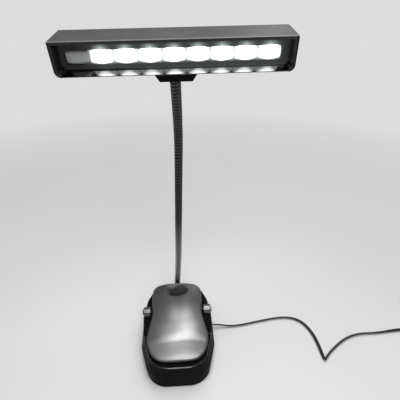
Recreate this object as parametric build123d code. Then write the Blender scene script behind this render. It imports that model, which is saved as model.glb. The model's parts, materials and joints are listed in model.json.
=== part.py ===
from build123d import *
import math
import os

# Clip-on piano lamp. Millimetres, +Z up, front towards -Y.
# The origin is the centre of the base's rest face, on the table.

# ---- housing: the battery case that the lamp stands on
foot_proud = 1.0
belly_z = 14.0
deck_z = 29.3
front_y = -50.0
rear_y = 57.0
foot_side = 37.5
belly_side = 39.0
deck_side = 34.8
foot_nose = 22.0
belly_nose = 21.5
deck_nose = 19.5
nose_length = 11.7
nose_taper = 6.6
shoulder_length = 36.0
tail_length = 20.0
tail_taper = 8.0
outline_radii = (22.0, 14.0, 26.0, 18.0, 12.0)
wall = 2.2
deck_thickness = 2.4
rim_radius = 1.6
seam_gap = 0.15

# ---- hinge of the clip
hinge_y = 7.2
hinge_z = 45.0
pin_radius = 2.0
pin_head_radius = 3.0
pin_head_height = 1.3
running_gap = 0.06
slip_gap = 0.05
barrel_radius = 5.2
barrel_length = 7.4
barrel_inner_x = 28.2
ear_ramp_front = 20.0
ear_ramp_rear = 16.0
ear_depth = 1.2
ear_inner_x = 28.6
ear_width = 7.2

# ---- lever: the upper plate with its frame
plate_thickness = 3.0
plate_profile = (
    (45.0, 50.3),
    (26.0, 52.0),
    (7.0, 52.0),
    (-8.0, 50.2),
    (-21.0, 46.4),
    (-33.0, 40.6),
    (-48.0, 32.8),
)
plate_rear_y = 43.0
plate_side = (
    (0.0, -45.8),
    (11.0, -45.4),
    (19.5, -43.9),
    (25.2, -39.8),
    (28.7, -33.0),
    (30.7, -23.5),
    (27.9, -9.5),
    (26.2, 4.0),
    (27.2, 24.0),
    (27.0, 32.9),
)
plate_tail_radius = 9.5
plate_edge_radius = 1.2
dish_y = 31.5
dish_radius = 11.4
dish_depth = 2.2
rib_x = 14.0
rib_thickness = 3.0
rib_depth = 5.0
rib_front_y = -24.5
rib_rear_y = 34.0
lug_radius = 5.0
jaw_half_width = 20.0
jaw_front_y = -42.0
jaw_rear_y = -24.0
jaw_z = 32.2
lever_screw_y = (-33.0, 20.5)
lever_screw_radius = 1.0
lever_screw_head_radius = 2.0
lever_screw_head_height = 1.2
lever_screw_cover = 1.2
lever_bridge_depth = 2.0
lever_bridge_length = 17.0
lever_room = 20.0

# ---- jaw pads
pad_half_width = 18.0
pad_front_y = -41.0
pad_rear_y = -26.0
pad_thickness = 2.4
pad_top_z = 30.0
jaw_gap = 0.3

# ---- torsion spring round the hinge pin
spring_coil_radius = 3.0
spring_wire_radius = 0.5
spring_pitch = 1.15
spring_turns = 5
spring_rest_angle = 31.6
spring_seat_gap = 0.1

# ---- battery compartment and door
cell_radius = 7.25
cell_length = 49.2
cell_nub_radius = 2.75
cell_nub_length = 1.3
cell_pitch = 15.0
cell_gap = 0.3
bay_front_y = -28.5
bay_wall = 1.6
door_thickness = 2.0
door_gap = 0.25
door_hinge_radius = 1.0
door_lip = 2.5
door_ledge = 1.6
contact_thickness = 0.5
contact_width = 9.0
contact_height = 9.0
contact_wire_radius = 0.35
contact_spring_turns = 4
contact_spring_radius = 3.2
contact_spring_room = 6.5
bay_length = cell_length + cell_nub_length + contact_spring_room + 2 * contact_thickness

# ---- screws and the foot under the housing
post_places = ((-17.5, -42.4), (17.5, -42.4), (-30.0, 40.5), (30.0, 40.5))
post_radius = 4.9
post_top_radius = 3.2
foot_inset = 1.5
foot_width = 6.0
foot_lobe_radius = 4.6
foot_door_margin = 0.9
foot_pocket = 1.0
screw_head_radius = 2.7
screw_head_height = 1.8
screw_radius = 1.4
screw_hole_radius = 1.6
screw_reach = 11.0
screw_slot = 0.8

# ---- circuit board in the base
board_width = 30.0
board_depth = 13.0
board_thickness = 1.6
board_z = 7.0
board_gap = 1.9
board_y = bay_front_y + bay_length + bay_wall + board_gap + board_depth / 2
board_post_radius = 2.2
board_chip = (6.0, 5.0, 1.6)
board_chip_x = -8.0
board_socket = (8.0, 6.0, 4.5)
board_socket_x = 9.0
board_can_radius = 2.5
board_can_height = 7.0
board_edge = 1.0

# ---- gooseneck: links that bend at ball joints
neck_root_y = 49.0
neck_root_z = 36.0
neck_radius = 3.5
rib_pitch = 3.3
rib_height = 0.4
link_leans = (2.0, 12.0, 16.5, 16.5, 15.0, 15.0, 18.0, 29.0, 37.0)
link_sides = (2.0, 3.4, 4.2, 5.0, 5.8, 6.6, 7.3, 7.2, 6.7)
head_side_shift = 6.6
neck_end_drop = 29.0
neck_end_setback = 15.1
ball_radius = 2.3
ball_gap = 0.15
socket_mouth = 0.45
shoulder_start = 1.6
shoulder_end = 3.4
lead_radius = 0.8
lead_bore = 1.1
lead_end_gap = 0.4
spigot_radius = 2.4
spigot_length = 1.6
neck_seat = 0.8

# ---- collar that holds the neck in the housing
collar_radius = 5.6
collar_shank_radius = 4.0
collar_flange_z = 33.2
collar_boss_radius = 8.0
nut_across_flats = 11.0
nut_height = 3.0

# ---- head: the hood with its row of light cells
head_width = 140.0
head_depth = 26.4
head_height = 19.7
head_tilt = 9.8
head_yaw = -1.4
head_roll = -1.2
head_top_z = 316.0
head_wall = 1.8
head_corner_radius = 3.6
head_edge_radius = 0.6
panel_depth = 6.0
panel_thickness = 1.5
panel_gap = 0.1
lip_height = 2.7
lip_edge = 0.4
cell_count = 9
window_margin = 7.0
light_pitch = (head_width - 2 * window_margin) / cell_count
light_shift = -0.6
window_top = 6.3
window_bottom = 5.3
window_height = head_height - window_top - window_bottom
window_radius = 1.6
lens_gap = 0.1
lens_sag = 1.5
lens_flange = 1.2
lens_base = 1.0
reflector_depth = 6.0
reflector_lap = 0.15
reflector_mouth = window_height / 2 + reflector_lap
reflector_throat = 2.0
led_size = 3.2
led_height = 1.0
led_dome_radius = 1.2
led_board_thickness = 1.2
led_board_margin = 1.2
head_screw_inset = 4.6
head_screw_length = 6.0
head_screw_x = head_width / 2 - head_screw_inset
head_boss_radius = 2.2
head_boss_height = 1.5
button_width = 12.0
button_height = 6.0
button_proud = 1.2
button_gap = 0.15
button_flange = 1.2
switch_size = 6.0
switch_depth = 3.4
plunger_radius = 1.6
plunger_depth = 0.6
plunger_proud = 0.9
bracket_top_width = 25.4
bracket_bottom_width = 19.6
bracket_height = 4.4
bracket_front = 0.8
bracket_depth = 12.4
bracket_screw_x = 7.4
bracket_screw_depth = 10.0

# ---- cord, lying on the table
cord_diameter = 4.2
cord_exit = (39.6, 19.0, 5.6)
cord_route = (
    cord_exit,
    (48.5, 19.0, 5.6),
    (59.9, 18.6, 3.2),
    (75.4, 19.6, 2.2),
    (100.2, 24.6, 2.2),
    (129.1, 28.6, 2.2),
    (146.9, 21.5, 2.2),
    (153.6, 2.0, 2.2),
    (154.0, -15.0, 2.2),
    (155.4, -27.0, 2.2),
    (160.2, -33.0, 2.2),
    (167.0, -31.0, 2.2),
    (172.4, -22.5, 2.2),
    (187.9, -7.5, 2.2),
    (206.8, -1.5, 2.2),
    (230.4, -2.4, 2.2),
    (259.4, 0.8, 2.2),
    (283.4, -1.6, 2.2),
    (301.4, 0.4, 2.2),
)
coil_center = (314.4, 30.0)
coil_columns = 4
coil_layers = 2
coil_inner_radius = 17.0
coil_layer_height = 2.3
cord_tail = (
    (319.4, 0.5, 3.4),
    (328.4, 1.0, 3.8),
    (337.4, -0.3, 3.8),
)
tie_angle = 60.0
tie_width = 8.0
tie_thickness = 1.0

# ---- plug on the end of the cord
plug_length = 26.0
plug_width = 15.5
plug_height = 7.6
plug_relief_length = 9.0
plug_relief_radius = 3.0
shell_width = 12.0
shell_height = 4.5
shell_length = 12.0
shell_thickness = 0.35
shell_hole = 2.4
shell_hole_x = 2.9
shell_hole_back = 5.1
tongue_thickness = 1.9

# ---- grommet where the cord leaves the housing
grommet_radius = 4.2
grommet_neck_radius = 3.2
grommet_flange = 1.4
grommet_length = 5.6


def box_between(low, high):
    """A box from its lowest to its highest corner."""
    size = [b - a for a, b in zip(low, high)]
    middle = [(a + b) / 2 for a, b in zip(low, high)]
    return Pos(*middle) * Box(*size)


def cylinder_between(start, end, radius):
    """A round bar from one point to another."""
    run = Vector(*end) - Vector(*start)
    return Plane(origin=start, z_dir=run) * Cylinder(
        radius, run.length, align=(Align.CENTER, Align.CENTER, Align.MIN)
    )


def upright(place, low_z, high_z, radius):
    """A vertical cylinder at a place in plan."""
    return cylinder_between((*place, low_z), (*place, high_z), radius)


# ---------------------------------------------------------------- housing


def housing_face(side, nose, z, inset=0.0):
    """The housing's outline at one level: a blunt nose, flared cheeks and a rounded tail."""
    front = front_y + inset
    rear = rear_y - inset
    half = side - inset
    right = [
        (nose, front),
        (half - nose_taper, front + nose_length),
        (half, front + shoulder_length),
        (half, rear - tail_length),
        (half - tail_taper, rear),
    ]
    left = [(-x, y) for x, y in reversed(right)]
    face = make_face(Polyline(*right, *left, close=True))
    for (x, y), radius in zip(right, outline_radii):
        corners = [v for v in face.vertices() if abs(abs(v.X) - x) < 0.01 and abs(v.Y - y) < 0.01]
        face = fillet(corners, radius - inset)
    return Pos(0, 0, z) * face


def housing_loft(levels, inset=0.0):
    """A solid through the housing's outlines at several levels."""
    return loft([housing_face(side, nose, z, inset) for side, nose, z in levels], ruled=True)


def bay_box(bottom, top, grow=0.0):
    """The battery bay's space between two levels."""
    half = 1.5 * cell_pitch + grow
    return box_between(
        (-half, bay_front_y - grow, bottom), (half, bay_front_y + bay_length + grow, top)
    )


def bottom_case():
    """The lower half: floor, battery bay, screw posts and cord entry."""
    levels = [(foot_side, foot_nose, foot_proud), (belly_side, belly_nose, belly_z - seam_gap)]
    inner_levels = [(foot_side, foot_nose, foot_proud + wall), (belly_side, belly_nose, belly_z)]
    door_top = foot_proud + door_thickness + door_gap
    case = housing_loft(levels) - housing_loft(inner_levels, wall)
    case += bay_box(foot_proud, belly_z - seam_gap, bay_wall)
    case += bay_box(foot_proud, door_top + door_ledge, door_lip + door_ledge)
    case -= bay_box(foot_proud - 1, belly_z)
    case -= bay_box(foot_proud - 1, door_top, door_lip)
    for place in post_places:
        case += upright(place, foot_proud, belly_z - seam_gap, post_radius)
    for place in post_places:
        head_z = foot_proud + foot_pocket + screw_head_height
        case -= upright(place, foot_proud, head_z, screw_head_radius + slip_gap)
        case -= upright(place, foot_proud, belly_z + 1, screw_hole_radius)
    case -= foot_band(foot_proud - 1, foot_proud + foot_pocket, slip_gap)
    for side in (-1, 1):
        post = (side * board_width * 0.36, board_y)
        case += upright(post, foot_proud + wall - 0.5, board_z, board_post_radius)
    x, y, z = cord_exit
    case -= cylinder_between((x - 8, y, z), (x + 2, y, z), grommet_neck_radius + slip_gap)
    case -= cylinder_between((x - grommet_flange, y, z), (x + 2, y, z), grommet_radius + slip_gap)
    return case


def ear(side):
    """The raised ear that cradles one barrel of the hinge."""
    profile = make_face(
        Polyline(
            (hinge_y - ear_ramp_front, deck_z - ear_depth),
            (hinge_y - barrel_radius, hinge_z - 1),
            (hinge_y + barrel_radius, hinge_z - 1),
            (hinge_y + ear_ramp_rear, deck_z - ear_depth),
            close=True,
        )
    )
    block = extrude(Plane.YZ * profile, ear_width)
    ramp_edges = block.edges().filter_by(Axis.X).group_by(Axis.Z)[-1]
    block = fillet(ramp_edges, 1.0)
    start = ear_inner_x if side > 0 else -ear_inner_x - ear_width
    block = Pos(start, 0, 0) * block
    return block - cylinder_between(
        (start - 1, hinge_y, hinge_z),
        (start + ear_width + 1, hinge_y, hinge_z),
        barrel_radius + slip_gap,
    )


def top_case():
    """The upper half: deck with its glossy rim, hinge ears and the neck's boss."""
    levels = [(belly_side, belly_nose, belly_z), (deck_side, deck_nose, deck_z)]
    inner_levels = [(belly_side, belly_nose, belly_z), (deck_side, deck_nose, deck_z - deck_thickness)]
    case = housing_loft(levels)
    case = fillet(case.edges().group_by(Axis.Z)[-1], rim_radius)
    case -= housing_loft(inner_levels, wall)
    for side in (-1, 1):
        case += ear(side)
    root = (0, neck_root_y)
    case += upright(root, deck_z - deck_thickness, collar_flange_z, collar_boss_radius)
    case -= upright(root, belly_z, collar_flange_z + 1, collar_shank_radius + slip_gap)
    for place in post_places:
        case += upright(place, belly_z, deck_z - deck_thickness + 0.2, post_top_radius)
        case -= upright(place, belly_z - 1, belly_z + screw_reach, screw_radius + slip_gap)
    case -= box_between(
        (-pad_half_width - slip_gap, pad_front_y - slip_gap, pad_top_z - pad_thickness),
        (pad_half_width + slip_gap, pad_rear_y + slip_gap, deck_z + 1),
    )
    return case


def foot_band(bottom, top, clearance=0.0):
    """The foot between two levels: a ring that follows the housing, with a lobe over each screw."""
    outer = housing_face(foot_side, foot_nose, bottom, foot_inset - clearance)
    inner = offset(outer, -(foot_width + 2 * clearance))
    ring = extrude(outer - inner, top - bottom)
    for place in post_places:
        ring += upright(place, bottom, top, foot_lobe_radius + clearance)
    return ring - bay_box(bottom - 1, top + 1, door_lip + foot_door_margin - clearance)


def rubber_foot():
    """The non-slip ring let into the housing's underside, over its screws."""
    return foot_band(0, foot_proud + foot_pocket)


def base_screws():
    """Four self-tapping screws, driven from below."""
    screws = []
    for place in post_places:
        head_z = foot_proud + foot_pocket
        screw = upright(place, head_z, head_z + screw_head_height, screw_head_radius)
        screw += upright(place, head_z, belly_z + screw_reach - 1, screw_radius)
        slot_half = screw_head_radius + 1
        screw -= box_between(
            (place[0] - slot_half, place[1] - screw_slot / 2, head_z - 1),
            (place[0] + slot_half, place[1] + screw_slot / 2, head_z + screw_slot),
        )
        screws.append(screw)
    return Compound(children=screws)


# ---------------------------------------------------------------- batteries


def cell_xs():
    """Where the three cells lie across the bay."""
    return [(i - 1) * cell_pitch for i in range(3)]


cell_z = foot_proud + door_thickness + cell_gap + cell_radius
cell_front_y = bay_front_y + contact_thickness


def battery_cells():
    """Three AA cells side by side, the middle one the other way round."""
    cells = []
    for i, x in enumerate(cell_xs()):
        flipped = i == 1
        body_y = cell_front_y if flipped else cell_front_y + cell_nub_length
        body = cylinder_between((x, body_y, cell_z), (x, body_y + cell_length, cell_z), cell_radius)
        body = fillet(body.edges(), 0.5)
        nub_y = body_y + cell_length if flipped else cell_front_y
        nub = cylinder_between((x, nub_y, cell_z), (x, nub_y + cell_nub_length, cell_z), cell_nub_radius)
        cells.append(body + nub)
    return Compound(children=cells)


def contact_plates():
    """Three flat contacts on the bay's front wall."""
    return Compound(
        children=[
            box_between(
                (x - contact_width / 2, bay_front_y, cell_z - contact_height / 2),
                (x + contact_width / 2, bay_front_y + contact_thickness, cell_z + contact_height / 2),
            )
            for x in cell_xs()
        ]
    )


def contact_springs():
    """Three coil contacts on the bay's rear wall, each with its back plate."""
    springs = []
    wall_y = bay_front_y + bay_length
    for x in cell_xs():
        plate = box_between(
            (x - contact_width / 2, wall_y - contact_thickness, cell_z - contact_height / 2),
            (x + contact_width / 2, wall_y, cell_z + contact_height / 2),
        )
        rise = contact_spring_room - 2 * contact_wire_radius
        helix = Helix(rise / contact_spring_turns, rise, contact_spring_radius)
        ring = Plane(origin=helix @ 0, z_dir=helix % 0) * Circle(contact_wire_radius)
        coil = sweep(ring, path=helix)
        foot_y = wall_y - contact_thickness - contact_wire_radius * 0.6
        place = Plane(origin=(x, foot_y, cell_z), x_dir=(1, 0, 0), z_dir=(0, -1, 0))
        springs.append(plate + place * coil)
    return Compound(children=springs)


def door_pivot():
    """The door turns about its front lip."""
    return (bay_front_y - door_lip + door_gap + door_hinge_radius, foot_proud + door_hinge_radius)


def battery_door():
    """The cover under the cells, with a finger notch at its back."""
    gap = door_lip - 2 * door_gap
    half = 1.5 * cell_pitch + gap
    pivot_y, pivot_z = door_pivot()
    door = box_between(
        (-half, pivot_y, foot_proud),
        (half, bay_front_y + bay_length + gap, foot_proud + door_thickness),
    )
    door += cylinder_between((-half, pivot_y, pivot_z), (half, pivot_y, pivot_z), door_hinge_radius)
    notch_y = bay_front_y + bay_length + gap - 3.0
    for i in range(3):
        groove_y = notch_y - 4.0 - 2.2 * i
        door -= box_between((-7.0, groove_y, foot_proud - 1), (7.0, groove_y + 1.0, foot_proud + 0.5))
    door -= box_between((-8.0, notch_y, foot_proud - 1), (8.0, notch_y + 1.6, foot_proud + 0.9))
    return door


def base_board():
    """The board that joins the cord, the cells and the neck's lead."""
    board = box_between(
        (-board_width / 2, board_y - board_depth / 2, board_z),
        (board_width / 2, board_y + board_depth / 2, board_z + board_thickness),
    )
    top = board_z + board_thickness
    for x, size in ((board_chip_x, board_chip), (board_socket_x, board_socket)):
        board += Pos(x, board_y, top + size[2] / 2) * Box(*size)
    can_y = board_y + board_depth / 2 - board_can_radius - board_edge
    board += upright((0, can_y), top, top + board_can_height, board_can_radius)
    return Compound(children=[board])


# ---------------------------------------------------------------- clip


def hinge_barrels():
    """The two bright barrels that the ears cradle."""
    barrels = []
    for side in (-1, 1):
        start = side * barrel_inner_x
        end = side * (barrel_inner_x + barrel_length)
        barrel = cylinder_between((start, hinge_y, hinge_z), (end, hinge_y, hinge_z), barrel_radius)
        barrel = chamfer(barrel.edges(), 0.4)
        barrels.append(
            barrel
            - cylinder_between(
                (start - side, hinge_y, hinge_z), (end + side, hinge_y, hinge_z), pin_radius + slip_gap
            )
        )
    return Compound(children=barrels)


def pin_head(side):
    """A domed head outside one barrel."""
    start = side * (barrel_inner_x + barrel_length + slip_gap)
    end = start + side * pin_head_height
    head = cylinder_between((start, hinge_y, hinge_z), (end, hinge_y, hinge_z), pin_head_radius)
    outer = head.edges().sort_by(Axis.X)[-1 if side > 0 else 0]
    return fillet(outer, pin_head_height * 0.6)


def hinge_pin():
    """The pin through both ears, with one formed head."""
    start = -(barrel_inner_x + barrel_length + slip_gap)
    shaft = cylinder_between((start, hinge_y, hinge_z), (-start, hinge_y, hinge_z), pin_radius)
    return shaft + pin_head(-1)


def hinge_pin_cap():
    """The pressed cap on the pin's other end."""
    return pin_head(1)


def plate_curve(drop):
    """The lever's profile from back to front, lowered by a depth."""
    return Spline(*[(y, z - drop) for y, z in plate_profile])


def profile_band(top_drop, bottom_drop):
    """The band of the side view between two depths under the lever's top."""
    top = plate_curve(top_drop)
    bottom = plate_curve(bottom_drop)
    rear = Line(top @ 0, bottom @ 0)
    front = Line(top @ 1, bottom @ 1)
    return Plane.YZ * make_face([top, front, bottom, rear])


def plate_outline():
    """The lever's plan: a waist at the hinge, a broad front and a rounded tail."""
    right = Spline(*plate_side, tangents=((1, 0, 0), (0, 1, 0)))
    left = mirror(right, Plane.YZ)
    side_x, side_y = plate_side[-1]
    inset = plate_tail_radius * (1 - math.cos(math.radians(45)))
    tail_x = side_x - plate_tail_radius
    tail_y = side_y + plate_tail_radius
    right_corner = ThreePointArc((side_x, side_y), (side_x - inset, tail_y - inset), (tail_x, tail_y))
    left_corner = mirror(right_corner, Plane.YZ)
    tail = ThreePointArc((-tail_x, tail_y), (0, plate_rear_y), (tail_x, tail_y))
    return make_face([right, right_corner, tail, left_corner, left])


def plate_slab():
    """The lever's plan as a tall block."""
    return extrude(plate_outline(), hinge_z + lever_room)


def lever_plate():
    """The satin plate with its thumb dish."""
    width = 2 * belly_side
    band = Pos(-width / 2, 0, 0) * extrude(profile_band(0, plate_thickness), width)
    plate = band & plate_slab()
    plate = plate.solids().sort_by(SortBy.VOLUME)[-1]
    rim = [e for e in plate.edges() if e.length > 15 and e.center().Z > hinge_z - 15]
    top_rim = [e for e in rim if is_top_edge(e)]
    plate = fillet(top_rim, plate_edge_radius) if top_rim else plate
    sphere_radius = (dish_radius**2 + dish_depth**2) / (2 * dish_depth)
    dish_top = plate_profile[1][1]
    poles_along_y = Rot(90, 0, 0)
    plate -= Pos(0, dish_y, dish_top - dish_depth + sphere_radius) * poles_along_y * Sphere(sphere_radius)
    for y in lever_screw_y:
        plate -= upright((0, y), 0, plate_top(y) - lever_screw_cover, lever_screw_radius + slip_gap)
    return plate


def is_top_edge(edge):
    """True for an edge that lies on the lever's top surface."""
    middle = edge @ 0.5
    top = plate_top(middle.Y)
    return abs(middle.Z - top) < 0.4


def plate_top(y):
    """The height of the lever's top at a place along it."""
    curve = plate_curve(0)
    low, high = 0.0, 1.0
    for _ in range(40):
        middle = (low + high) / 2
        if (curve @ middle).X > y:
            low = middle
        else:
            high = middle
    return (curve @ low).Y


def lever_frame():
    """The black frame under the plate: two ribs with hinge lugs, and the jaw block."""
    band = extrude(profile_band(plate_thickness, plate_thickness + rib_depth), rib_thickness)
    frame = None
    for side in (-1, 1):
        start = side * rib_x - rib_thickness / 2
        rib = Pos(start, 0, 0) * band
        rib &= box_between(
            (start, rib_front_y - 2, 0), (start + rib_thickness, rib_rear_y, hinge_z + lever_room)
        )
        lug = cylinder_between(
            (start, hinge_y, hinge_z - 1.2), (start + rib_thickness, hinge_y, hinge_z - 1.2), lug_radius
        )
        web = box_between(
            (start, hinge_y - lug_radius, hinge_z - 1.2),
            (start + rib_thickness, hinge_y + lug_radius, hinge_z + 3),
        )
        frame = rib + lug + web if frame is None else frame + rib + lug + web
    jaw_band = extrude(profile_band(plate_thickness, plate_thickness + lever_room), 2 * jaw_half_width)
    jaw = (Pos(-jaw_half_width, 0, 0) * jaw_band) & box_between(
        (-jaw_half_width, jaw_front_y, jaw_z), (jaw_half_width, jaw_rear_y, hinge_z + lever_room)
    )
    frame += jaw
    bridge = extrude(profile_band(plate_thickness, plate_thickness + lever_bridge_depth), 2 * rib_x)
    bridge = (Pos(-rib_x, 0, 0) * bridge) & box_between(
        (-rib_x, rib_rear_y - lever_bridge_length, 0), (rib_x, rib_rear_y, hinge_z + lever_room)
    )
    frame += bridge
    for side in (-1, 1):
        frame -= cylinder_between(
            (side * (rib_x - 5), hinge_y, hinge_z),
            (side * (rib_x + 5), hinge_y, hinge_z),
            pin_radius + running_gap,
        )
    for y in lever_screw_y:
        low = lever_screw_seat(y)
        frame -= upright((0, y), low - 1, hinge_z + lever_room, lever_screw_radius + slip_gap)
        frame -= upright((0, y), 0, low, lever_screw_head_radius + slip_gap)
    return frame


def lever_screw_seat(y):
    """Where a lever screw's head bears on the frame."""
    if y < hinge_y:
        return jaw_z + lever_screw_head_height
    return plate_top(y) - plate_thickness - lever_bridge_depth + lever_screw_head_height / 2


def lever_screws():
    """Two screws that hold the frame to the plate, from below."""
    screws = []
    for y in lever_screw_y:
        seat = lever_screw_seat(y)
        screw = upright((0, y), seat - 0.1, plate_top(y) - lever_screw_cover - 0.1, lever_screw_radius)
        screw += upright((0, y), seat - lever_screw_head_height, seat, lever_screw_head_radius)
        screws.append(screw)
    return Compound(children=screws)


def lower_jaw_pad():
    """The rubber pad let into the deck."""
    pad = box_between(
        (-pad_half_width, pad_front_y, pad_top_z - pad_thickness), (pad_half_width, pad_rear_y, pad_top_z)
    )
    for i in range(5):
        y = pad_front_y + 2.4 + 2.6 * i
        pad -= box_between(
            (-pad_half_width - 1, y, pad_top_z - 0.5), (pad_half_width + 1, y + 0.8, pad_top_z + 1)
        )
    return pad


def upper_jaw_pad():
    """The rubber pad under the jaw block."""
    low = pad_top_z + jaw_gap
    pad = box_between((-pad_half_width, pad_front_y, low), (pad_half_width, pad_rear_y, jaw_z))
    for i in range(5):
        y = pad_front_y + 2.4 + 2.6 * i
        pad -= box_between((-pad_half_width - 1, y, low - 1), (pad_half_width + 1, y + 0.8, low + 0.5))
    return pad


def torsion_spring():
    """The spring that closes the jaw: a coil round the pin and two straight legs."""
    start_angle = math.radians(270 - spring_rest_angle)
    sweep_turns = spring_turns + (180 - spring_rest_angle) / 360
    height = spring_pitch * sweep_turns
    place = Plane(
        origin=(height / 2, hinge_y, hinge_z),
        x_dir=(0, math.cos(start_angle), math.sin(start_angle)),
        z_dir=(-1, 0, 0),
    )
    helix = Helix(spring_pitch, height, spring_coil_radius)
    ring = Plane(origin=helix @ 0, z_dir=helix % 0) * Circle(spring_wire_radius)
    coil = place * sweep(ring, path=helix)
    first = place.from_local_coords(helix @ 0)
    first_way = place.from_local_coords(helix @ 0 + helix % 0) - first
    last = place.from_local_coords(helix @ 1)
    last_way = place.from_local_coords(helix @ 1 + helix % 1) - last
    seat_z = deck_z + spring_wire_radius + spring_seat_gap
    rest_length = (first.Z - seat_z) / abs(first_way.Z)
    foot = first - first_way * rest_length
    tip_y = rib_rear_y - lever_bridge_length - spring_wire_radius - spring_seat_gap
    tip = last + last_way * ((tip_y - last.Y) / last_way.Y)
    rest_leg = cylinder_between(tuple(foot), tuple(first), spring_wire_radius)
    push_leg = cylinder_between(tuple(last), tuple(tip), spring_wire_radius)
    return coil + rest_leg + push_leg


# ---------------------------------------------------------------- neck


def link_rise():
    """How far each link climbs, as a share of its length, summed over the links."""
    return sum(math.cos(math.radians(lean)) for lean in link_leans)


def neck_points():
    """The joint centres up the neck, from the collar to just under the head."""
    y, z = neck_root_y, neck_root_z
    link_length = (head_top_z - neck_end_drop - neck_root_z) / link_rise()
    points = [(0.0, y, z)]
    for lean, x in zip(link_leans, link_sides):
        y -= link_length * math.sin(math.radians(lean))
        z += link_length * math.cos(math.radians(lean))
        points.append((x, y, z))
    return points


def ribbed_edge(start, end):
    """The ribbed outside of a link, as radius and height pairs."""
    count = max(1, round((end - start) / rib_pitch))
    step = (end - start) / count
    edge = [(neck_radius - rib_height, start)]
    for i in range(count):
        edge.append((neck_radius, start + step * (i + 0.5)))
        edge.append((neck_radius - rib_height, start + step * (i + 1)))
    return edge


def link_solid(length, is_last):
    """One rigid link of the neck: a ball below, ribs, and a socket or a spigot above."""
    top = length if is_last else length + socket_mouth
    edge = ribbed_edge(shoulder_end, top)
    stem = math.sqrt(ball_radius**2 - shoulder_start**2)
    outline = [(0, 0), (stem, shoulder_start), *edge, (0, top)]
    profile = make_face(Polyline((0, 0), (stem, 0), *outline[1:], close=True))
    link = revolve(Plane.XZ * profile, Axis.Z)
    link += Sphere(ball_radius)
    if is_last:
        link += upright((0, 0), top, top + spigot_length, spigot_radius)
    else:
        link -= Pos(0, 0, length) * Sphere(ball_radius + ball_gap)
    return link - upright((0, 0), -ball_radius - 1, top + spigot_length + 1, lead_bore)


def link_places():
    """Each link's frame: its origin at the lower joint, +Z along the link."""
    points = neck_points()
    return [
        Plane(origin=low, x_dir=(1, 0, 0), z_dir=Vector(*high) - Vector(*low))
        for low, high in zip(points, points[1:])
    ]


def link_lengths():
    """Each link's length between joints; the last one runs on to the head's bracket."""
    points = neck_points()
    lengths = [(Vector(*high) - Vector(*low)).length for low, high in zip(points, points[1:])]
    lengths[-1] += neck_to_bracket()
    return lengths


def neck_to_bracket():
    """How far the last link runs past its full length to sit in the bracket's underside."""
    points = neck_points()
    end = Vector(*points[-1])
    way = (end - Vector(*points[-2])).normalized()
    head = head_plane()
    start_local = head.to_local_coords(end)
    way_local = head.to_local_coords(end + way) - start_local
    return (-head_height - bracket_height - start_local.Z) / way_local.Z + neck_seat


def neck_collar():
    """The metal collar at the neck's root, with its socket."""
    root = (0, neck_root_y)
    top = neck_root_z + socket_mouth
    collar = upright(root, collar_flange_z, top, collar_radius)
    collar = fillet(collar.edges().group_by(Axis.Z)[-1], 0.8)
    shank_low = deck_z - deck_thickness - nut_height - 1.0
    collar += upright(root, shank_low, collar_flange_z + 0.5, collar_shank_radius)
    collar -= Pos(0, neck_root_y, neck_root_z) * Sphere(ball_radius + ball_gap)
    return collar - upright(root, shank_low - 1, top, lead_bore + 0.4)


def neck_nut():
    """The hexagon nut under the deck."""
    high = deck_z - deck_thickness - slip_gap
    nut = extrude(RegularPolygon(nut_across_flats / 2, 6, major_radius=False), nut_height)
    nut = Pos(0, neck_root_y, high - nut_height) * nut
    return nut - upright((0, neck_root_y), high - nut_height - 1, high + 1, collar_shank_radius + slip_gap)


# ---------------------------------------------------------------- head


def head_plane():
    """The head's frame: origin at the middle of its upper front edge, +Y into the head."""
    neck_end_y = neck_points()[-1][1]
    place = Pos(head_side_shift, neck_end_y - neck_end_setback, head_top_z)
    return Plane(place * Rot(0, 0, head_yaw) * Rot(head_tilt, 0, 0) * Rot(0, head_roll, 0))


lens_back = panel_depth + panel_thickness + panel_gap + lens_base
board_front = lens_back + reflector_depth + panel_gap + led_height
light_z = -(window_top + window_height / 2)


def light_xs():
    """The middles of the light cells across the head."""
    return [light_shift + (i - (cell_count - 1) / 2) * light_pitch for i in range(cell_count)]


def head_cover():
    """The hood: a long box, open at the front, with rounded lower corners."""
    outer = box_between((-head_width / 2, 0, -head_height), (head_width / 2, head_depth, 0))
    lower = outer.edges().filter_by(Axis.Y).group_by(Axis.Z)[0]
    outer = fillet(lower, head_corner_radius)
    back = outer.edges().group_by(Axis.Y)[-1]
    outer = fillet(back, head_edge_radius)
    inner = box_between(
        (-head_width / 2 + head_wall, -1, -head_height + head_wall),
        (head_width / 2 - head_wall, head_depth - head_wall, -head_wall),
    )
    inner = fillet(inner.edges().filter_by(Axis.Y).group_by(Axis.Z)[0], head_corner_radius - head_wall)
    cover = outer - inner
    lip_half = head_width / 2 - head_corner_radius
    cover -= box_between(
        (-lip_half, -1, -head_height - 1),
        (lip_half, panel_depth + panel_thickness, -head_height + head_wall),
    )
    for side in (-1, 1):
        boss_start = board_front + led_board_thickness
        boss = cylinder_between(
            (side * head_screw_x, boss_start, light_z),
            (side * head_screw_x, head_depth - 1, light_z),
            head_boss_radius,
        )
        cover += boss
        cover -= cylinder_between(
            (side * head_screw_x, boss_start - 1, light_z),
            (side * head_screw_x, boss_start + head_screw_length, light_z),
            screw_radius / 2 + slip_gap,
        )
    half_width = button_width / 2 + button_gap
    half_height = button_height / 2 + button_gap
    cover -= box_between(
        (-half_width, head_depth - head_wall - 1, light_z - half_height),
        (half_width, head_depth + 1, light_z + half_height),
    )
    for side in (-1, 1):
        place = (side * bracket_screw_x, bracket_screw_depth)
        floor_z = -head_height + head_wall
        cover += upright(place, floor_z - 0.2, floor_z + head_boss_height, head_boss_radius)
        cover -= upright(place, -head_height - 1, floor_z + 2, screw_radius / 2 + slip_gap)
    return cover


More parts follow.
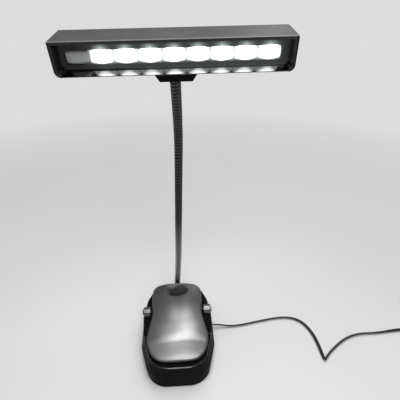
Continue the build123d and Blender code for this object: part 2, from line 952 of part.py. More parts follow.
def head_bezel():
    """The black front panel with its window and the glossy lip below."""
    half = head_width / 2 - head_wall - slip_gap
    lip_half = head_width / 2 - head_corner_radius - slip_gap
    panel = box_between(
        (-half, panel_depth, -head_height + head_corner_radius),
        (half, panel_depth + panel_thickness - slip_gap, -head_wall - slip_gap),
    )
    lip = Plane.YZ * make_face(
        Polyline(
            (panel_depth, lip_height - head_height),
            (0.2, -head_height + lip_edge),
            (0.2, -head_height),
            (panel_depth + panel_thickness - slip_gap, -head_height),
            (panel_depth + panel_thickness - slip_gap, -head_height + head_corner_radius + 1),
            (panel_depth, -head_height + head_corner_radius + 1),
            close=True,
        )
    )
    bezel = panel + Pos(-lip_half, 0, 0) * extrude(lip, 2 * lip_half)
    window = box_between(
        (light_shift - cell_count * light_pitch / 2, 0, -window_top - window_height),
        (light_shift + cell_count * light_pitch / 2, lens_back, -window_top),
    )
    window = fillet(window.edges().filter_by(Axis.Y), window_radius)
    return bezel - window


def lens_strip():
    """The clear strip: one bulged lens for each light cell, on a common flange."""
    left = light_shift - cell_count * light_pitch / 2
    right = light_shift + cell_count * light_pitch / 2
    high = -window_top - lens_gap
    low = -window_top - window_height + lens_gap
    flange_y = panel_depth + panel_thickness
    strip = box_between(
        (left - lens_flange, flange_y, low - lens_flange),
        (right + lens_flange, flange_y + lens_base, high + lens_flange),
    )
    chord = light_pitch / 2 - lens_gap
    radius = (chord**2 + lens_sag**2) / (2 * lens_sag)
    for x in light_xs():
        front = flange_y - lens_sag - 0.6
        bulge = upright((x, front + radius), low, high, radius)
        bulge &= box_between((x - chord, front, low), (x + chord, flange_y + 0.2, high))
        strip += bulge
    window = box_between((left + lens_gap, 0, low), (right - lens_gap, flange_y, high))
    window = fillet(window.edges().filter_by(Axis.Y), window_radius)
    frontless = box_between((left - 5, flange_y, low - 5), (right + 5, flange_y + 5, high + 5))
    return strip & (window + frontless)


def reflector():
    """The bright block behind the lenses, with a cup for each light."""
    left = light_shift - cell_count * light_pitch / 2
    right = light_shift + cell_count * light_pitch / 2
    block_half_height = reflector_mouth + 0.6
    block = box_between(
        (left, lens_back, light_z - block_half_height),
        (right, lens_back + reflector_depth, light_z + block_half_height),
    )
    for x in light_xs():
        place = Plane(origin=(x, lens_back, light_z), x_dir=(1, 0, 0), z_dir=(0, 1, 0))
        block -= place * Cone(
            reflector_mouth, reflector_throat, reflector_depth, align=(Align.CENTER, Align.CENTER, Align.MIN)
        )
    return block


def led_chips():
    """One light source behind each cell, standing on the board."""
    chips = []
    for x in light_xs():
        chip = box_between(
            (x - led_size / 2, board_front - led_height, light_z - led_size / 2),
            (x + led_size / 2, board_front, light_z + led_size / 2),
        )
        front = board_front - led_height
        dome = Pos(x, front, light_z) * Sphere(led_dome_radius)
        dome &= box_between(
            (x - led_dome_radius, front - led_dome_radius, light_z - led_dome_radius),
            (x + led_dome_radius, front + led_height / 2, light_z + led_dome_radius),
        )
        chips.append(chip + dome)
    return Compound(children=chips)


def led_board():
    """The narrow board that carries the lights."""
    half = head_width / 2 - head_wall - led_board_margin
    half_height = reflector_mouth + 1.4
    board = box_between(
        (-half, board_front, light_z - half_height),
        (half, board_front + led_board_thickness, light_z + half_height),
    )
    for side in (-1, 1):
        board -= cylinder_between(
            (side * head_screw_x, board_front - 1, light_z),
            (side * head_screw_x, board_front + led_board_thickness + 1, light_z),
            screw_radius / 2 + 0.15,
        )
    return board


def head_screws():
    """The board's two screws and the bracket's two."""
    screws = []
    for side in (-1, 1):
        x = side * head_screw_x
        screw = cylinder_between((x, board_front - 1.0, light_z), (x, board_front, light_z), 1.5)
        screw += cylinder_between(
            (x, board_front - 0.5, light_z), (x, board_front + head_screw_length, light_z), screw_radius / 2
        )
        screws.append(screw)
    for side in (-1, 1):
        place = (side * bracket_screw_x, bracket_screw_depth)
        low = -head_height - 2.0
        screw = upright(place, low - 1.0, low, 1.5)
        tip = -head_height + head_wall + head_boss_height - 0.2
        screw += upright(place, low - 0.5, tip, screw_radius / 2)
        screws.append(screw)
    return Compound(children=screws)


def tact_switch():
    """The switch on the back of the light board, with a bore for its plunger."""
    start = board_front + led_board_thickness
    switch = box_between(
        (-switch_size / 2, start, light_z - switch_size / 2),
        (switch_size / 2, start + switch_depth, light_z + switch_size / 2),
    )
    rear = start + switch_depth
    bore_start = rear - plunger_depth - 1.0
    return switch - cylinder_between(
        (0, bore_start, light_z), (0, rear + 1, light_z), plunger_radius + running_gap
    )


def switch_plunger():
    """The switch's plunger, moved by the button's stem."""
    rear = board_front + led_board_thickness + switch_depth
    return cylinder_between(
        (0, rear - plunger_depth, light_z), (0, switch_tip(), light_z), plunger_radius
    )


def switch_tip():
    """Where the switch's plunger ends."""
    return board_front + led_board_thickness + switch_depth + plunger_proud


def power_button():
    """The button in the head's back, with a flange that keeps it in."""
    cap_half = button_width / 2
    cap = box_between(
        (-cap_half, head_depth - head_wall - button_gap, light_z - button_height / 2),
        (cap_half, head_depth + button_proud, light_z + button_height / 2),
    )
    cap = fillet(cap.edges().filter_by(Axis.Y), 1.2)
    cap = fillet(cap.edges().group_by(Axis.Y)[-1], 0.5)
    flange_half = cap_half + button_flange
    flange_y = head_depth - head_wall - button_gap
    cap += box_between(
        (-flange_half, flange_y - 1.0, light_z - button_height / 2 - button_flange),
        (flange_half, flange_y, light_z + button_height / 2 + button_flange),
    )
    stem_end = switch_tip() + 0.1
    return cap + cylinder_between((0, stem_end, light_z), (0, flange_y, light_z), 1.5)


def head_bracket():
    """The tapered boss under the head that takes the neck."""
    top = Plane.XY.offset(-head_height) * Pos(0, bracket_front + bracket_depth / 2) * Rectangle(
        bracket_top_width, bracket_depth
    )
    bottom = Plane.XY.offset(-head_height - bracket_height) * Pos(
        0, bracket_front + bracket_depth / 2 - 0.6
    ) * Rectangle(bracket_bottom_width, bracket_depth - 1.2)
    bracket = loft([bottom, top], ruled=True)
    local = head_plane()
    for side in (-1, 1):
        place = (side * bracket_screw_x, bracket_screw_depth)
        bracket -= upright(place, -head_height - 3, -head_height + 1, screw_radius / 2 + 0.15)
        bracket -= upright(place, -head_height - bracket_height - 1, -head_height - 2, 1.65)
    neck = link_places()[-1]
    start = neck.from_local_coords(Vector(0, 0, link_lengths()[-1] - 6))
    end = neck.from_local_coords(Vector(0, 0, link_lengths()[-1] + spigot_length + 0.1))
    rib_end = neck.from_local_coords(Vector(0, 0, link_lengths()[-1] + 0.05))
    low = tuple(local.to_local_coords(start))
    bracket -= cylinder_between(low, tuple(local.to_local_coords(end)), spigot_radius + slip_gap)
    return bracket - cylinder_between(low, tuple(local.to_local_coords(rib_end)), neck_radius + slip_gap)


# ---------------------------------------------------------------- cord


def arc_radii(points):
    """The radius of the arc at each inner point of a route: as large as its two runs allow."""
    radii = []
    for before, at, after in zip(points, points[1:], points[2:]):
        run_in = Vector(*at) - Vector(*before)
        run_out = Vector(*after) - Vector(*at)
        half_turn = math.radians(run_in.get_angle(run_out)) / 2
        radii.append(0.45 * min(run_in.length, run_out.length) / math.tan(half_turn))
    return radii


def cord_tube(points):
    """A round cord along a route of straight runs joined by arcs."""
    radii = arc_radii(points)
    print("cord arcs, mm:", [round(r, 1) for r in radii])
    path = FilletPolyline(*points, radius=radii)
    ring = Plane(origin=path @ 0, z_dir=path % 0) * Circle(cord_diameter / 2)
    tube = sweep(ring, path=path)
    expected = math.pi * (cord_diameter / 2) ** 2 * path.length
    print("cord length, mm:", round(path.length, 1), "volume ratio:", round(tube.volume / expected, 4))
    return tube


def coil_outer_radius():
    """The middle of the coil's widest turn."""
    return coil_inner_radius + (coil_columns - 1) * cord_diameter


def cord_coil():
    """The wound part of the cord as one ring."""
    height = coil_layers * coil_layer_height
    outer = upright((0, 0), 0, height, coil_outer_radius() + cord_diameter / 2)
    inner = Cylinder(coil_inner_radius - cord_diameter / 2, 3 * height)
    ring = outer - inner
    ring = fillet(ring.edges(), 1.2)
    return Pos(*coil_center, 0) * ring


def coil_tie():
    """The strap round the coil's turns."""
    low = coil_inner_radius - cord_diameter / 2 - slip_gap
    high = coil_outer_radius() + cord_diameter / 2 + slip_gap
    height = coil_layers * coil_layer_height + slip_gap
    strap = box_between(
        (low - tie_thickness, -tie_width / 2, 0),
        (high + tie_thickness, tie_width / 2, height + tie_thickness),
    )
    strap = fillet(strap.edges().filter_by(Axis.Y).group_by(Axis.Z)[-1], tie_thickness * 0.9)
    strap -= Cylinder(high, 2 * height) - Cylinder(low, 2 * height)
    return Pos(*coil_center, 0) * (Rot(0, 0, tie_angle) * strap)


def plug_plane():
    """The plug's frame: origin where the cord enters, +Z towards its tip."""
    before = Vector(*cord_tail[-2])
    end = Vector(*cord_tail[-1])
    way = (end.X - before.X, end.Y - before.Y, 0)
    return Plane(origin=(end.X, end.Y, plug_height / 2), x_dir=(0, 0, 1), z_dir=way)


def plug_body():
    """The moulded grip of the plug with its strain relief."""
    grip = box_between(
        (-plug_height / 2, -plug_width / 2, plug_relief_length),
        (plug_height / 2, plug_width / 2, plug_relief_length + plug_length),
    )
    grip = fillet(grip.edges().filter_by(Axis.Z), 2.0)
    grip = fillet(grip.edges().group_by(Axis.Z)[0], 1.5)
    relief = Cone(
        cord_diameter / 2 + 0.5,
        plug_relief_radius,
        plug_relief_length,
        align=(Align.CENTER, Align.CENTER, Align.MIN),
    )
    body = grip + relief
    shell_start = plug_relief_length + plug_length - 4
    body -= box_between(
        (-shell_height / 2 - slip_gap, -shell_width / 2 - slip_gap, shell_start),
        (shell_height / 2 + slip_gap, shell_width / 2 + slip_gap, shell_start + 10),
    )
    return body


def plug_shell():
    """The plug's metal shell."""
    start = plug_relief_length + plug_length - 4 + slip_gap
    end = plug_relief_length + plug_length + shell_length
    shell = box_between(
        (-shell_height / 2, -shell_width / 2, start), (shell_height / 2, shell_width / 2, end)
    )
    inner = box_between(
        (-shell_height / 2 + shell_thickness, -shell_width / 2 + shell_thickness, start + shell_thickness),
        (shell_height / 2 - shell_thickness, shell_width / 2 - shell_thickness, end + 1),
    )
    shell -= inner
    for side in (-1, 1):
        middle = side * shell_hole_x
        shell -= box_between(
            (0, middle - shell_hole / 2, end - shell_hole_back - shell_hole),
            (shell_height, middle + shell_hole / 2, end - shell_hole_back),
        )
    return shell


def plug_tongue():
    """The plug's contact tongue inside its shell."""
    start = plug_relief_length + plug_length - 4 + slip_gap + shell_thickness
    end = plug_relief_length + plug_length + shell_length - 0.4
    low = -shell_height / 2 + shell_thickness
    return box_between(
        (low, -shell_width / 2 + shell_thickness + 0.1, start),
        (low + tongue_thickness, shell_width / 2 - shell_thickness - 0.1, end),
    )


def cord_grommet():
    """The flush rubber grommet in the housing's side."""
    x, y, z = cord_exit
    start = x - grommet_length
    grommet = cylinder_between((start, y, z), (x, y, z), grommet_neck_radius)
    flange = Cone(
        grommet_radius, grommet_radius - 0.8, grommet_flange, align=(Align.CENTER, Align.CENTER, Align.MIN)
    )
    grommet += Plane(origin=(x - grommet_flange, y, z), z_dir=(1, 0, 0)) * flange
    return grommet


# ---------------------------------------------------------------- write


def in_head(shape):
    """Move a piece from the head's frame to the lamp's."""
    return head_plane() * shape


def in_plug(shape):
    """Move a piece from the plug's frame to the lamp's."""
    return plug_plane() * shape


def neck_nodes():
    """The neck's links and the lead inside each."""
    nodes = {}
    lengths = link_lengths()
    for i, (place, length) in enumerate(zip(link_places(), lengths)):
        is_last = i == len(lengths) - 1
        nodes[f"neck_link_{i + 1}"] = place * link_solid(length, is_last)
        end = length + (spigot_length if is_last else -ball_radius - ball_gap - lead_end_gap)
        nodes[f"neck_lead_{i + 1}"] = place * upright((0, 0), lead_end_gap, end, lead_radius)
    return nodes


def all_nodes():
    """Every piece of the lamp by name."""
    nodes = {
        "bottom_case": bottom_case(),
        "top_case": top_case(),
        "rubber_foot": rubber_foot(),
        "base_screws": base_screws(),
        "battery_cells": battery_cells(),
        "contact_plates": contact_plates(),
        "contact_springs": contact_springs(),
        "battery_door": battery_door(),
        "base_board": base_board(),
        "hinge_barrels": hinge_barrels(),
        "hinge_pin": hinge_pin(),
        "hinge_pin_cap": hinge_pin_cap(),
        "lever_plate": lever_plate(),
        "lever_frame": lever_frame(),
        "lever_screws": lever_screws(),
        "lower_jaw_pad": lower_jaw_pad(),
        "upper_jaw_pad": upper_jaw_pad(),
        "torsion_spring": torsion_spring(),
        "neck_collar": neck_collar(),
        "neck_nut": neck_nut(),
        "head_cover": in_head(head_cover()),
        "head_bezel": in_head(head_bezel()),
        "lens_strip": in_head(lens_strip()),
        "reflector": in_head(reflector()),
        "led_chips": in_head(led_chips()),
        "led_board": in_head(led_board()),
        "head_screws": in_head(head_screws()),
        "tact_switch": in_head(tact_switch()),
        "switch_plunger": in_head(switch_plunger()),
        "power_button": in_head(power_button()),
        "head_bracket": in_head(head_bracket()),
        "cord_grommet": cord_grommet(),
        "cord_run": cord_tube(cord_route),
        "cord_coil": cord_coil(),
        "coil_tie": coil_tie(),
        "cord_tail": cord_tube(cord_tail),
        "plug_body": in_plug(plug_body()),
        "plug_shell": in_plug(plug_shell()),
        "plug_tongue": in_plug(plug_tongue()),
    }
    nodes.update(neck_nodes())
    return nodes


os.makedirs("parts", exist_ok=True)
for name, shape in all_nodes().items():
    export_step(shape, f"parts/{name}.step")
print("neck joints, mm:", [tuple(round(c, 3) for c in p) for p in neck_points()])
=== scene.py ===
import json
import math

import bmesh
import bpy
import numpy as np
from mathutils import Matrix, Vector


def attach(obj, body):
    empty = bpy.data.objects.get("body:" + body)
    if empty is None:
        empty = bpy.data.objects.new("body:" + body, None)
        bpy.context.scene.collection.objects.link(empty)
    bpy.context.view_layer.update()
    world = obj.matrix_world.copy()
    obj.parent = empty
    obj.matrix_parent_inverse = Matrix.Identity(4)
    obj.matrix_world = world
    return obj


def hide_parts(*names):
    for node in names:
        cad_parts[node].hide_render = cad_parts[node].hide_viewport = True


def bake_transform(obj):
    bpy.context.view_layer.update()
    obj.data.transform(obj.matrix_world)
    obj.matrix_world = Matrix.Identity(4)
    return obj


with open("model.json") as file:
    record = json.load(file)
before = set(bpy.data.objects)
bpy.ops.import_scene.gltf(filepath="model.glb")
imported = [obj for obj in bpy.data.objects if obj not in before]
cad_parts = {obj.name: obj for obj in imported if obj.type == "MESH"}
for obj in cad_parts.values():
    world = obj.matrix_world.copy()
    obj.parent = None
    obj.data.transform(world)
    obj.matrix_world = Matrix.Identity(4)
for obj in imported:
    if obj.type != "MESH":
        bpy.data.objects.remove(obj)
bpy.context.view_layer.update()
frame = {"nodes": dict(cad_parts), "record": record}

# lengths and places are in millimetres; MM takes them to the metres of the frame
MM = 0.001

# the housing's deck, above the table
DECK_Z = 29.3

# ------------------------------------------------------------------ camera

IMAGE_PX = 400.0
FOCAL_PX = 343.0
PITCH = 30.0
AZIMUTH = 3.9
CAMERA_AT = (6.8, -254.9, 333.6)


def make_camera():
    data = bpy.data.cameras.new("camera")
    data.sensor_fit = "HORIZONTAL"
    data.sensor_width = 36.0
    data.lens = FOCAL_PX / IMAGE_PX * data.sensor_width
    data.clip_start = 0.01
    data.clip_end = 50.0
    camera = bpy.data.objects.new("camera", data)
    camera.location = [c * MM for c in CAMERA_AT]
    camera.rotation_euler = (math.radians(90.0 - PITCH), 0.0, math.radians(-AZIMUTH))
    bpy.context.scene.collection.objects.link(camera)
    bpy.context.scene.camera = camera


# ------------------------------------------------------------------ materials

# where one finish gives way to the next, or to painted light or shade: each pair is a start and an end
PAINT_EDGE = (-0.35, -0.15)
# the depths behind the hood's front over which the painted highlight on its top edge fades out
PAINTED_HIGHLIGHT_DEPTHS = (0.8, 1.5)
END_WALL = (1.4, 1.0)
# the heights of the painted highlight band on the case's rim
RIM_HIGHLIGHT_HEIGHTS = (DECK_Z - 1.9, DECK_Z - 1.5)
EAR_HEIGHTS = (DECK_Z + 0.1, DECK_Z + 0.3)
# the pin stays dark a little way onto its head: a painted shade line where the head meets the barrel
PIN_PAINTED_GAP_TO = (36.1, 36.2)
CELL_BAND_FROM = (3.5, 4.0)
# slopes, as the upward part of a face's normal
UPRIGHT = (0.25, 0.45)
LEVEL = (0.93, 0.97)


def blank_material(name):
    """A material with a Principled shader, and the handles to add to it."""
    mat = bpy.data.materials.new(name)
    mat.use_nodes = True
    tree = mat.node_tree
    tree.nodes.clear()
    out = tree.nodes.new("ShaderNodeOutputMaterial")
    shader = tree.nodes.new("ShaderNodeBsdfPrincipled")
    tree.links.new(shader.outputs["BSDF"], out.inputs["Surface"])
    return mat, tree, shader


def node(tree, kind, **values):
    """A node with some of its properties set."""
    made = tree.nodes.new(kind)
    for key, value in values.items():
        setattr(made, key, value)
    return made


def noise(tree, scale, detail=4.0, stretch=(1.0, 1.0, 1.0)):
    """Noise over the object's own place, in cycles per metre."""
    coords = node(tree, "ShaderNodeTexCoord")
    mapping = node(tree, "ShaderNodeMapping")
    mapping.inputs["Scale"].default_value = stretch
    made = node(tree, "ShaderNodeTexNoise")
    made.inputs["Scale"].default_value = scale
    made.inputs["Detail"].default_value = detail
    made.inputs["Roughness"].default_value = 0.55
    tree.links.new(coords.outputs["Object"], mapping.inputs["Vector"])
    tree.links.new(mapping.outputs["Vector"], made.inputs["Vector"])
    return made.outputs["Fac"]


def between(tree, value, low, high, start=0.3, end=0.7):
    """A texture's value spread between two numbers."""
    spread = node(tree, "ShaderNodeMapRange")
    spread.inputs["From Min"].default_value = start
    spread.inputs["From Max"].default_value = end
    spread.inputs["To Min"].default_value = low
    spread.inputs["To Max"].default_value = high
    tree.links.new(value, spread.inputs["Value"])
    return spread.outputs["Result"]


def mixed(tree, factor, first, second, blend="MIX"):
    """A colour between two, each a socket or three numbers, by a texture's value."""
    mix = node(tree, "ShaderNodeMix", data_type="RGBA", blend_type=blend)
    tree.links.new(factor, mix.inputs[0])
    for socket, colour in ((mix.inputs[6], first), (mix.inputs[7], second)):
        if isinstance(colour, tuple):
            socket.default_value = (*colour, 1.0)
        else:
            tree.links.new(colour, socket)
    return mix.outputs[2]


def bumped(tree, shader, height, strength, distance, edge=0.0):
    """A bump from a texture, over edges that catch the light as if rounded."""
    bump = node(tree, "ShaderNodeBump")
    bump.inputs["Strength"].default_value = strength
    bump.inputs["Distance"].default_value = distance
    tree.links.new(height, bump.inputs["Height"])
    if edge:
        bevel = node(tree, "ShaderNodeBevel", samples=6)
        bevel.inputs["Radius"].default_value = edge
        tree.links.new(bevel.outputs["Normal"], bump.inputs["Normal"])
    tree.links.new(bump.outputs["Normal"], shader.inputs["Normal"])


def moulded(name, dark, light, rough, grain=2600.0, bump=0.12, edge=0.0004, gloss=0.5):
    """Moulded plastic or rubber: a fine grain, faint cloudy tone and gently worn edges."""
    mat, tree, shader = blank_material(name)
    cloud = noise(tree, 70.0, 5.0)
    colour = mixed(tree, between(tree, cloud, 0.0, 1.0), dark, light)
    tree.links.new(colour, shader.inputs["Base Color"])
    smear = noise(tree, 160.0, 6.0, stretch=(1.0, 2.4, 1.0))
    tree.links.new(between(tree, smear, rough * 0.82, rough * 1.2), shader.inputs["Roughness"])
    shader.inputs["Specular IOR Level"].default_value = gloss
    bumped(tree, shader, noise(tree, grain, 3.0), bump, 0.00006, edge)
    return mat


def metal(name, dark, light, rough, brush=(1.0, 1.0, 1.0), scale=900.0, bump=0.06, edge=0.0003):
    """Bare or plated metal, brushed along one axis where the stretch says so."""
    mat, tree, shader = blank_material(name)
    grain = noise(tree, scale, 5.0, stretch=brush)
    colour = mixed(tree, between(tree, grain, 0.0, 1.0), dark, light)
    tree.links.new(colour, shader.inputs["Base Color"])
    tree.links.new(between(tree, grain, rough * 0.75, rough * 1.3), shader.inputs["Roughness"])
    shader.inputs["Metallic"].default_value = 1.0
    bumped(tree, shader, grain, bump, 0.00004, edge)
    return mat


def calculate(tree, operation, first, second=None):
    """A value from one or two others, each a socket or a number."""
    made = node(tree, "ShaderNodeMath", operation=operation)
    for socket, value in zip(made.inputs, (first, second)):
        if isinstance(value, (int, float)):
            socket.default_value = value
        elif value is not None:
            tree.links.new(value, socket)
    return made.outputs["Value"]


def own_coordinate(tree, axis):
    """A point's place along one axis of the object's own frame, in metres."""
    coords = node(tree, "ShaderNodeTexCoord")
    split = node(tree, "ShaderNodeSeparateXYZ")
    tree.links.new(coords.outputs["Object"], split.inputs["Vector"])
    return split.outputs[axis]


def head_coordinate(tree, axis):
    """A point's place along one axis of the head's own frame, in millimetres."""
    place = head_matrix()
    way = place.to_3x3().col[axis]
    coords = node(tree, "ShaderNodeTexCoord")
    dot = node(tree, "ShaderNodeVectorMath", operation="DOT_PRODUCT")
    tree.links.new(coords.outputs["Object"], dot.inputs[0])
    dot.inputs[1].default_value = tuple(way)
    from_origin = calculate(tree, "SUBTRACT", dot.outputs["Value"], float(way.dot(place.translation)))
    return calculate(tree, "MULTIPLY", from_origin, 1.0 / MM)


def hood_finish(name):
    """The hood: a satin grey top and back, and gloss black for its ends, underside and inside; a painted
    highlight lightens the top along its front edge.
    """
    mat, tree, shader = blank_material(name)
    depth = head_coordinate(tree, 1)
    height = head_coordinate(tree, 2)
    top = between(tree, height, 0.0, 1.0, *PAINT_EDGE)
    back = between(tree, depth, 0.0, 1.0, *(HEAD_DEPTH + e for e in PAINT_EDGE))
    grey = calculate(tree, "MAXIMUM", top, back)
    cloud = between(tree, noise(tree, 45.0, 5.0), 0.0, 1.0)
    # painted highlight: the grey top is lighter along its front edge
    painted_edge_highlight = between(tree, depth, 1.0, 0.0, *PAINTED_HIGHLIGHT_DEPTHS)
    width = calculate(tree, "ABSOLUTE", head_coordinate(tree, 0))
    inside = between(tree, width, 1.0, 0.0, *(HEAD_HALF - w for w in END_WALL))
    satin = mixed(tree, cloud, (0.116, 0.116, 0.119), (0.152, 0.152, 0.155))
    satin_with_painted_highlight = mixed(tree, painted_edge_highlight, satin, (0.36, 0.36, 0.36))
    gloss = mixed(tree, cloud, (0.007, 0.007, 0.007), (0.011, 0.011, 0.012))
    black = mixed(tree, inside, gloss, (0.035, 0.035, 0.035))
    tree.links.new(mixed(tree, grey, black, satin_with_painted_highlight), shader.inputs["Base Color"])
    tree.links.new(between(tree, grey, 0.16, 0.42, 0.0, 1.0), shader.inputs["Roughness"])
    tree.links.new(between(tree, grey, 0.0, 0.3, 0.0, 1.0), shader.inputs["Metallic"])
    shader.inputs["IOR"].default_value = 1.3
    bumped(tree, shader, noise(tree, 5200.0, 2.0), 0.08, 0.00004, 0.0003)
    return mat


def facing_up(tree, low, high):
    """From 0 where a face looks sideways or down to 1 where it looks up, between two slopes."""
    place = node(tree, "ShaderNodeNewGeometry")
    split = node(tree, "ShaderNodeSeparateXYZ")
    tree.links.new(place.outputs["Normal"], split.inputs["Vector"])
    return between(tree, split.outputs["Z"], 0.0, 1.0, low, high)


def panel_finish(name):
    """The gloss black front panel, with light painted round its cells as a glow of its own; its lower lip is
    polished like a mirror.
    """
    mat, tree, shader = blank_material(name)
    height = head_coordinate(tree, 2)
    lip = between(tree, height, 1.0, 0.0, *LIP_EDGE)
    off_middle, across = cell_place(tree)
    # the span of the lit cells: with sharp ends for the stars, with soft ends for the spill
    first = between(tree, across, 0.0, 1.0, 0.0, 0.1)
    last = between(tree, across, 1.0, 0.0, LIT_COUNT - 0.05, LIT_COUNT + 0.1)
    lit = calculate(tree, "MULTIPLY", first, last)
    first = between(tree, across, 0.0, PANEL_PAINTED_SPILL, -0.5, 0.5)
    last = between(tree, across, 1.0, 0.0, LIT_COUNT - 0.3, LIT_COUNT + 0.5)
    spill = calculate(tree, "MULTIPLY", first, last)
    # a painted star of light over each lit cell, fainter upwards and sideways
    upright = between(tree, height, 1.0, 0.0, *PAINTED_STAR_HEIGHTS)
    sideways = between(tree, off_middle, 1.0, 0.15, 0.0, GLARE_WIDTH)
    star = calculate(tree, "MULTIPLY", upright, sideways)
    star = calculate(tree, "MULTIPLY", star, star)
    above = between(tree, height, 0.0, PANEL_PAINTED_STAR, LIGHT_Z, LIGHT_Z + 0.1)
    star = calculate(tree, "MULTIPLY", star, above)
    near = calculate(tree, "ADD", calculate(tree, "MULTIPLY", lit, star), spill)
    near = calculate(tree, "MULTIPLY", near, between(tree, height, 0.0, 1.0, *LIP_EDGE))
    # the painted light: the panel glows with it though it is no lamp
    shader.inputs["Emission Color"].default_value = (0.86, 1.0, 0.93, 1.0)
    tree.links.new(near, shader.inputs["Emission Strength"])
    cloud = between(tree, noise(tree, 60.0, 5.0), 0.0, 1.0)
    black = mixed(tree, cloud, (0.010, 0.010, 0.010), (0.015, 0.015, 0.016))
    tree.links.new(mixed(tree, lip, black, (0.13, 0.13, 0.13)), shader.inputs["Base Color"])
    tree.links.new(lip, shader.inputs["Metallic"])
    tree.links.new(between(tree, lip, 0.22, 0.07, 0.0, 1.0), shader.inputs["Roughness"])
    shader.inputs["Specular IOR Level"].default_value = 0.3
    bumped(tree, shader, noise(tree, 1500.0, 3.0), 0.02, 0.00006, 0.0003)
    return mat


def case_finish(name):
    """The upper case: satin black walls, and a lighter metallic band painted on the rounded rim of its deck
    as its highlight line.
    """
    mat, tree, shader = blank_material(name)
    height = own_coordinate(tree, "Z")
    rim = between(tree, height, 0.0, 1.0, *(z * MM for z in RIM_HIGHLIGHT_HEIGHTS))
    below_ear = between(tree, height, 1.0, 0.0, *(z * MM for z in EAR_HEIGHTS))
    # the painted rim highlight: kept below the ears and to the faces whose slope catches the light
    rounded = calculate(tree, "SUBTRACT", facing_up(tree, *UPRIGHT), facing_up(tree, *LEVEL))
    gloss = calculate(tree, "MULTIPLY", calculate(tree, "MULTIPLY", rim, below_ear), rounded)
    cloud = between(tree, noise(tree, 70.0, 5.0), 0.0, 1.0)
    black = mixed(tree, cloud, (0.005, 0.005, 0.005), (0.008, 0.008, 0.009))
    tree.links.new(mixed(tree, gloss, black, (0.09, 0.09, 0.091)), shader.inputs["Base Color"])
    tree.links.new(gloss, shader.inputs["Metallic"])
    tree.links.new(between(tree, gloss, 0.46, 0.20, 0.0, 1.0), shader.inputs["Roughness"])
    shader.inputs["Specular IOR Level"].default_value = 0.03
    bumped(tree, shader, noise(tree, 1800.0, 3.0), 0.05, 0.00006, 0.0004)
    return mat


def in_dish(tree):
    """1 inside the lever's thumb dish and 0 outside it."""
    coords = node(tree, "ShaderNodeTexCoord")
    shift = node(tree, "ShaderNodeMapping", vector_type="TEXTURE")
    shift.inputs["Location"].default_value = (DISH_AT[0] * MM, DISH_AT[1] * MM, 0.0)
    shift.inputs["Scale"].default_value = (DISH_RADII[0] * MM, DISH_RADII[1] * MM, 1.0)
    flat = node(tree, "ShaderNodeVectorMath", operation="MULTIPLY")
    flat.inputs[1].default_value = (1.0, 1.0, 0.0)
    reach = node(tree, "ShaderNodeVectorMath", operation="LENGTH")
    tree.links.new(coords.outputs["Object"], shift.inputs["Vector"])
    tree.links.new(shift.outputs["Vector"], flat.inputs[0])
    tree.links.new(flat.outputs["Vector"], reach.inputs[0])
    return between(tree, reach.outputs["Value"], 1.0, 0.0, 0.96, 1.0)


def plate_finish(name):
    """The lever's silver-grey satin paint, with painted shade on its upright edge and in its thumb dish."""
    mat, tree, shader = blank_material(name)
    flakes = noise(tree, 5200.0, 2.0)
    cloud = between(tree, noise(tree, 45.0, 5.0), 0.0, 1.0)
    grey = mixed(tree, cloud, PLATE_DARK, PLATE_LIGHT)
    # painted shade: the thumb dish is darker, as its hollow falls in shade
    grey_with_dish_shade = mixed(tree, in_dish(tree), grey, (0.42, 0.42, 0.42), blend="MULTIPLY")
    # painted shade on the upright edge, where light from above misses it; the dark also stands for the black
    # frame under the thin plate
    painted_shade_tone = mixed(tree, facing_up(tree, *UPRIGHT), (0.035, 0.035, 0.035), grey_with_dish_shade)
    tree.links.new(painted_shade_tone, shader.inputs["Base Color"])
    shader.inputs["Metallic"].default_value = 0.85
    tree.links.new(between(tree, flakes, 0.28, 0.34), shader.inputs["Roughness"])
    bumped(tree, shader, flakes, 0.10, 0.00004, 0.0003)
    return mat


def cell_place(tree):
    """How far a point is from its cell's middle, in pitches, and its place along the lit cells."""
    across = calculate(tree, "SUBTRACT", head_coordinate(tree, 0), LIGHT_SHIFT)
    cells = calculate(tree, "ADD", calculate(tree, "DIVIDE", across, LIGHT_PITCH), 0.5)
    off_middle = calculate(tree, "SUBTRACT", calculate(tree, "FRACT", cells), 0.5)
    off_middle = calculate(tree, "ABSOLUTE", off_middle)
    return off_middle, calculate(tree, "ADD", cells, (LIGHT_COUNT - 1) / 2 - 1)


def lamp_glass(name, strength):
    """The lit cells: glaring over each light source, fainter towards the joints between cells."""
    mat, tree, shader = blank_material(name)
    shader.inputs["Base Color"].default_value = (0.85, 0.88, 0.88, 1.0)
    shader.inputs["Roughness"].default_value = 0.12
    shader.inputs["Emission Color"].default_value = (0.95, 1.0, 0.99, 1.0)
    off_middle, _ = cell_place(tree)
    sideways = calculate(tree, "DIVIDE", off_middle, GLARE_WIDTH)
    upwards = calculate(tree, "SUBTRACT", head_coordinate(tree, 2), GLARE_MIDDLE)
    upwards = calculate(tree, "DIVIDE", upwards, GLARE_HEIGHT)
    sideways = calculate(tree, "POWER", sideways, 2.0)
    upwards = calculate(tree, "MULTIPLY", upwards, upwards)
    glare = between(tree, calculate(tree, "ADD", sideways, upwards), strength, 1.05, 0.03, 1.0)
    joint = between(tree, off_middle, 1.0, 0.35, 0.44, 0.47)
    tree.links.new(calculate(tree, "MULTIPLY", glare, joint), shader.inputs["Emission Strength"])
    bumped(tree, shader, noise(tree, 900.0, 3.0), 0.05, 0.00005)
    return mat


def clear_plastic(name):
    """Clear moulded plastic with a slightly wavy face."""
    mat, tree, shader = blank_material(name)
    shader.inputs["Base Color"].default_value = (0.93, 0.95, 0.95, 1.0)
    shader.inputs["Transmission Weight"].default_value = 0.55
    shader.inputs["IOR"].default_value = 1.45
    ripple = noise(tree, 420.0, 3.0)
    tree.links.new(between(tree, ripple, 0.02, 0.09), shader.inputs["Roughness"])
    bumped(tree, shader, ripple, 0.12, 0.0002)
    return mat


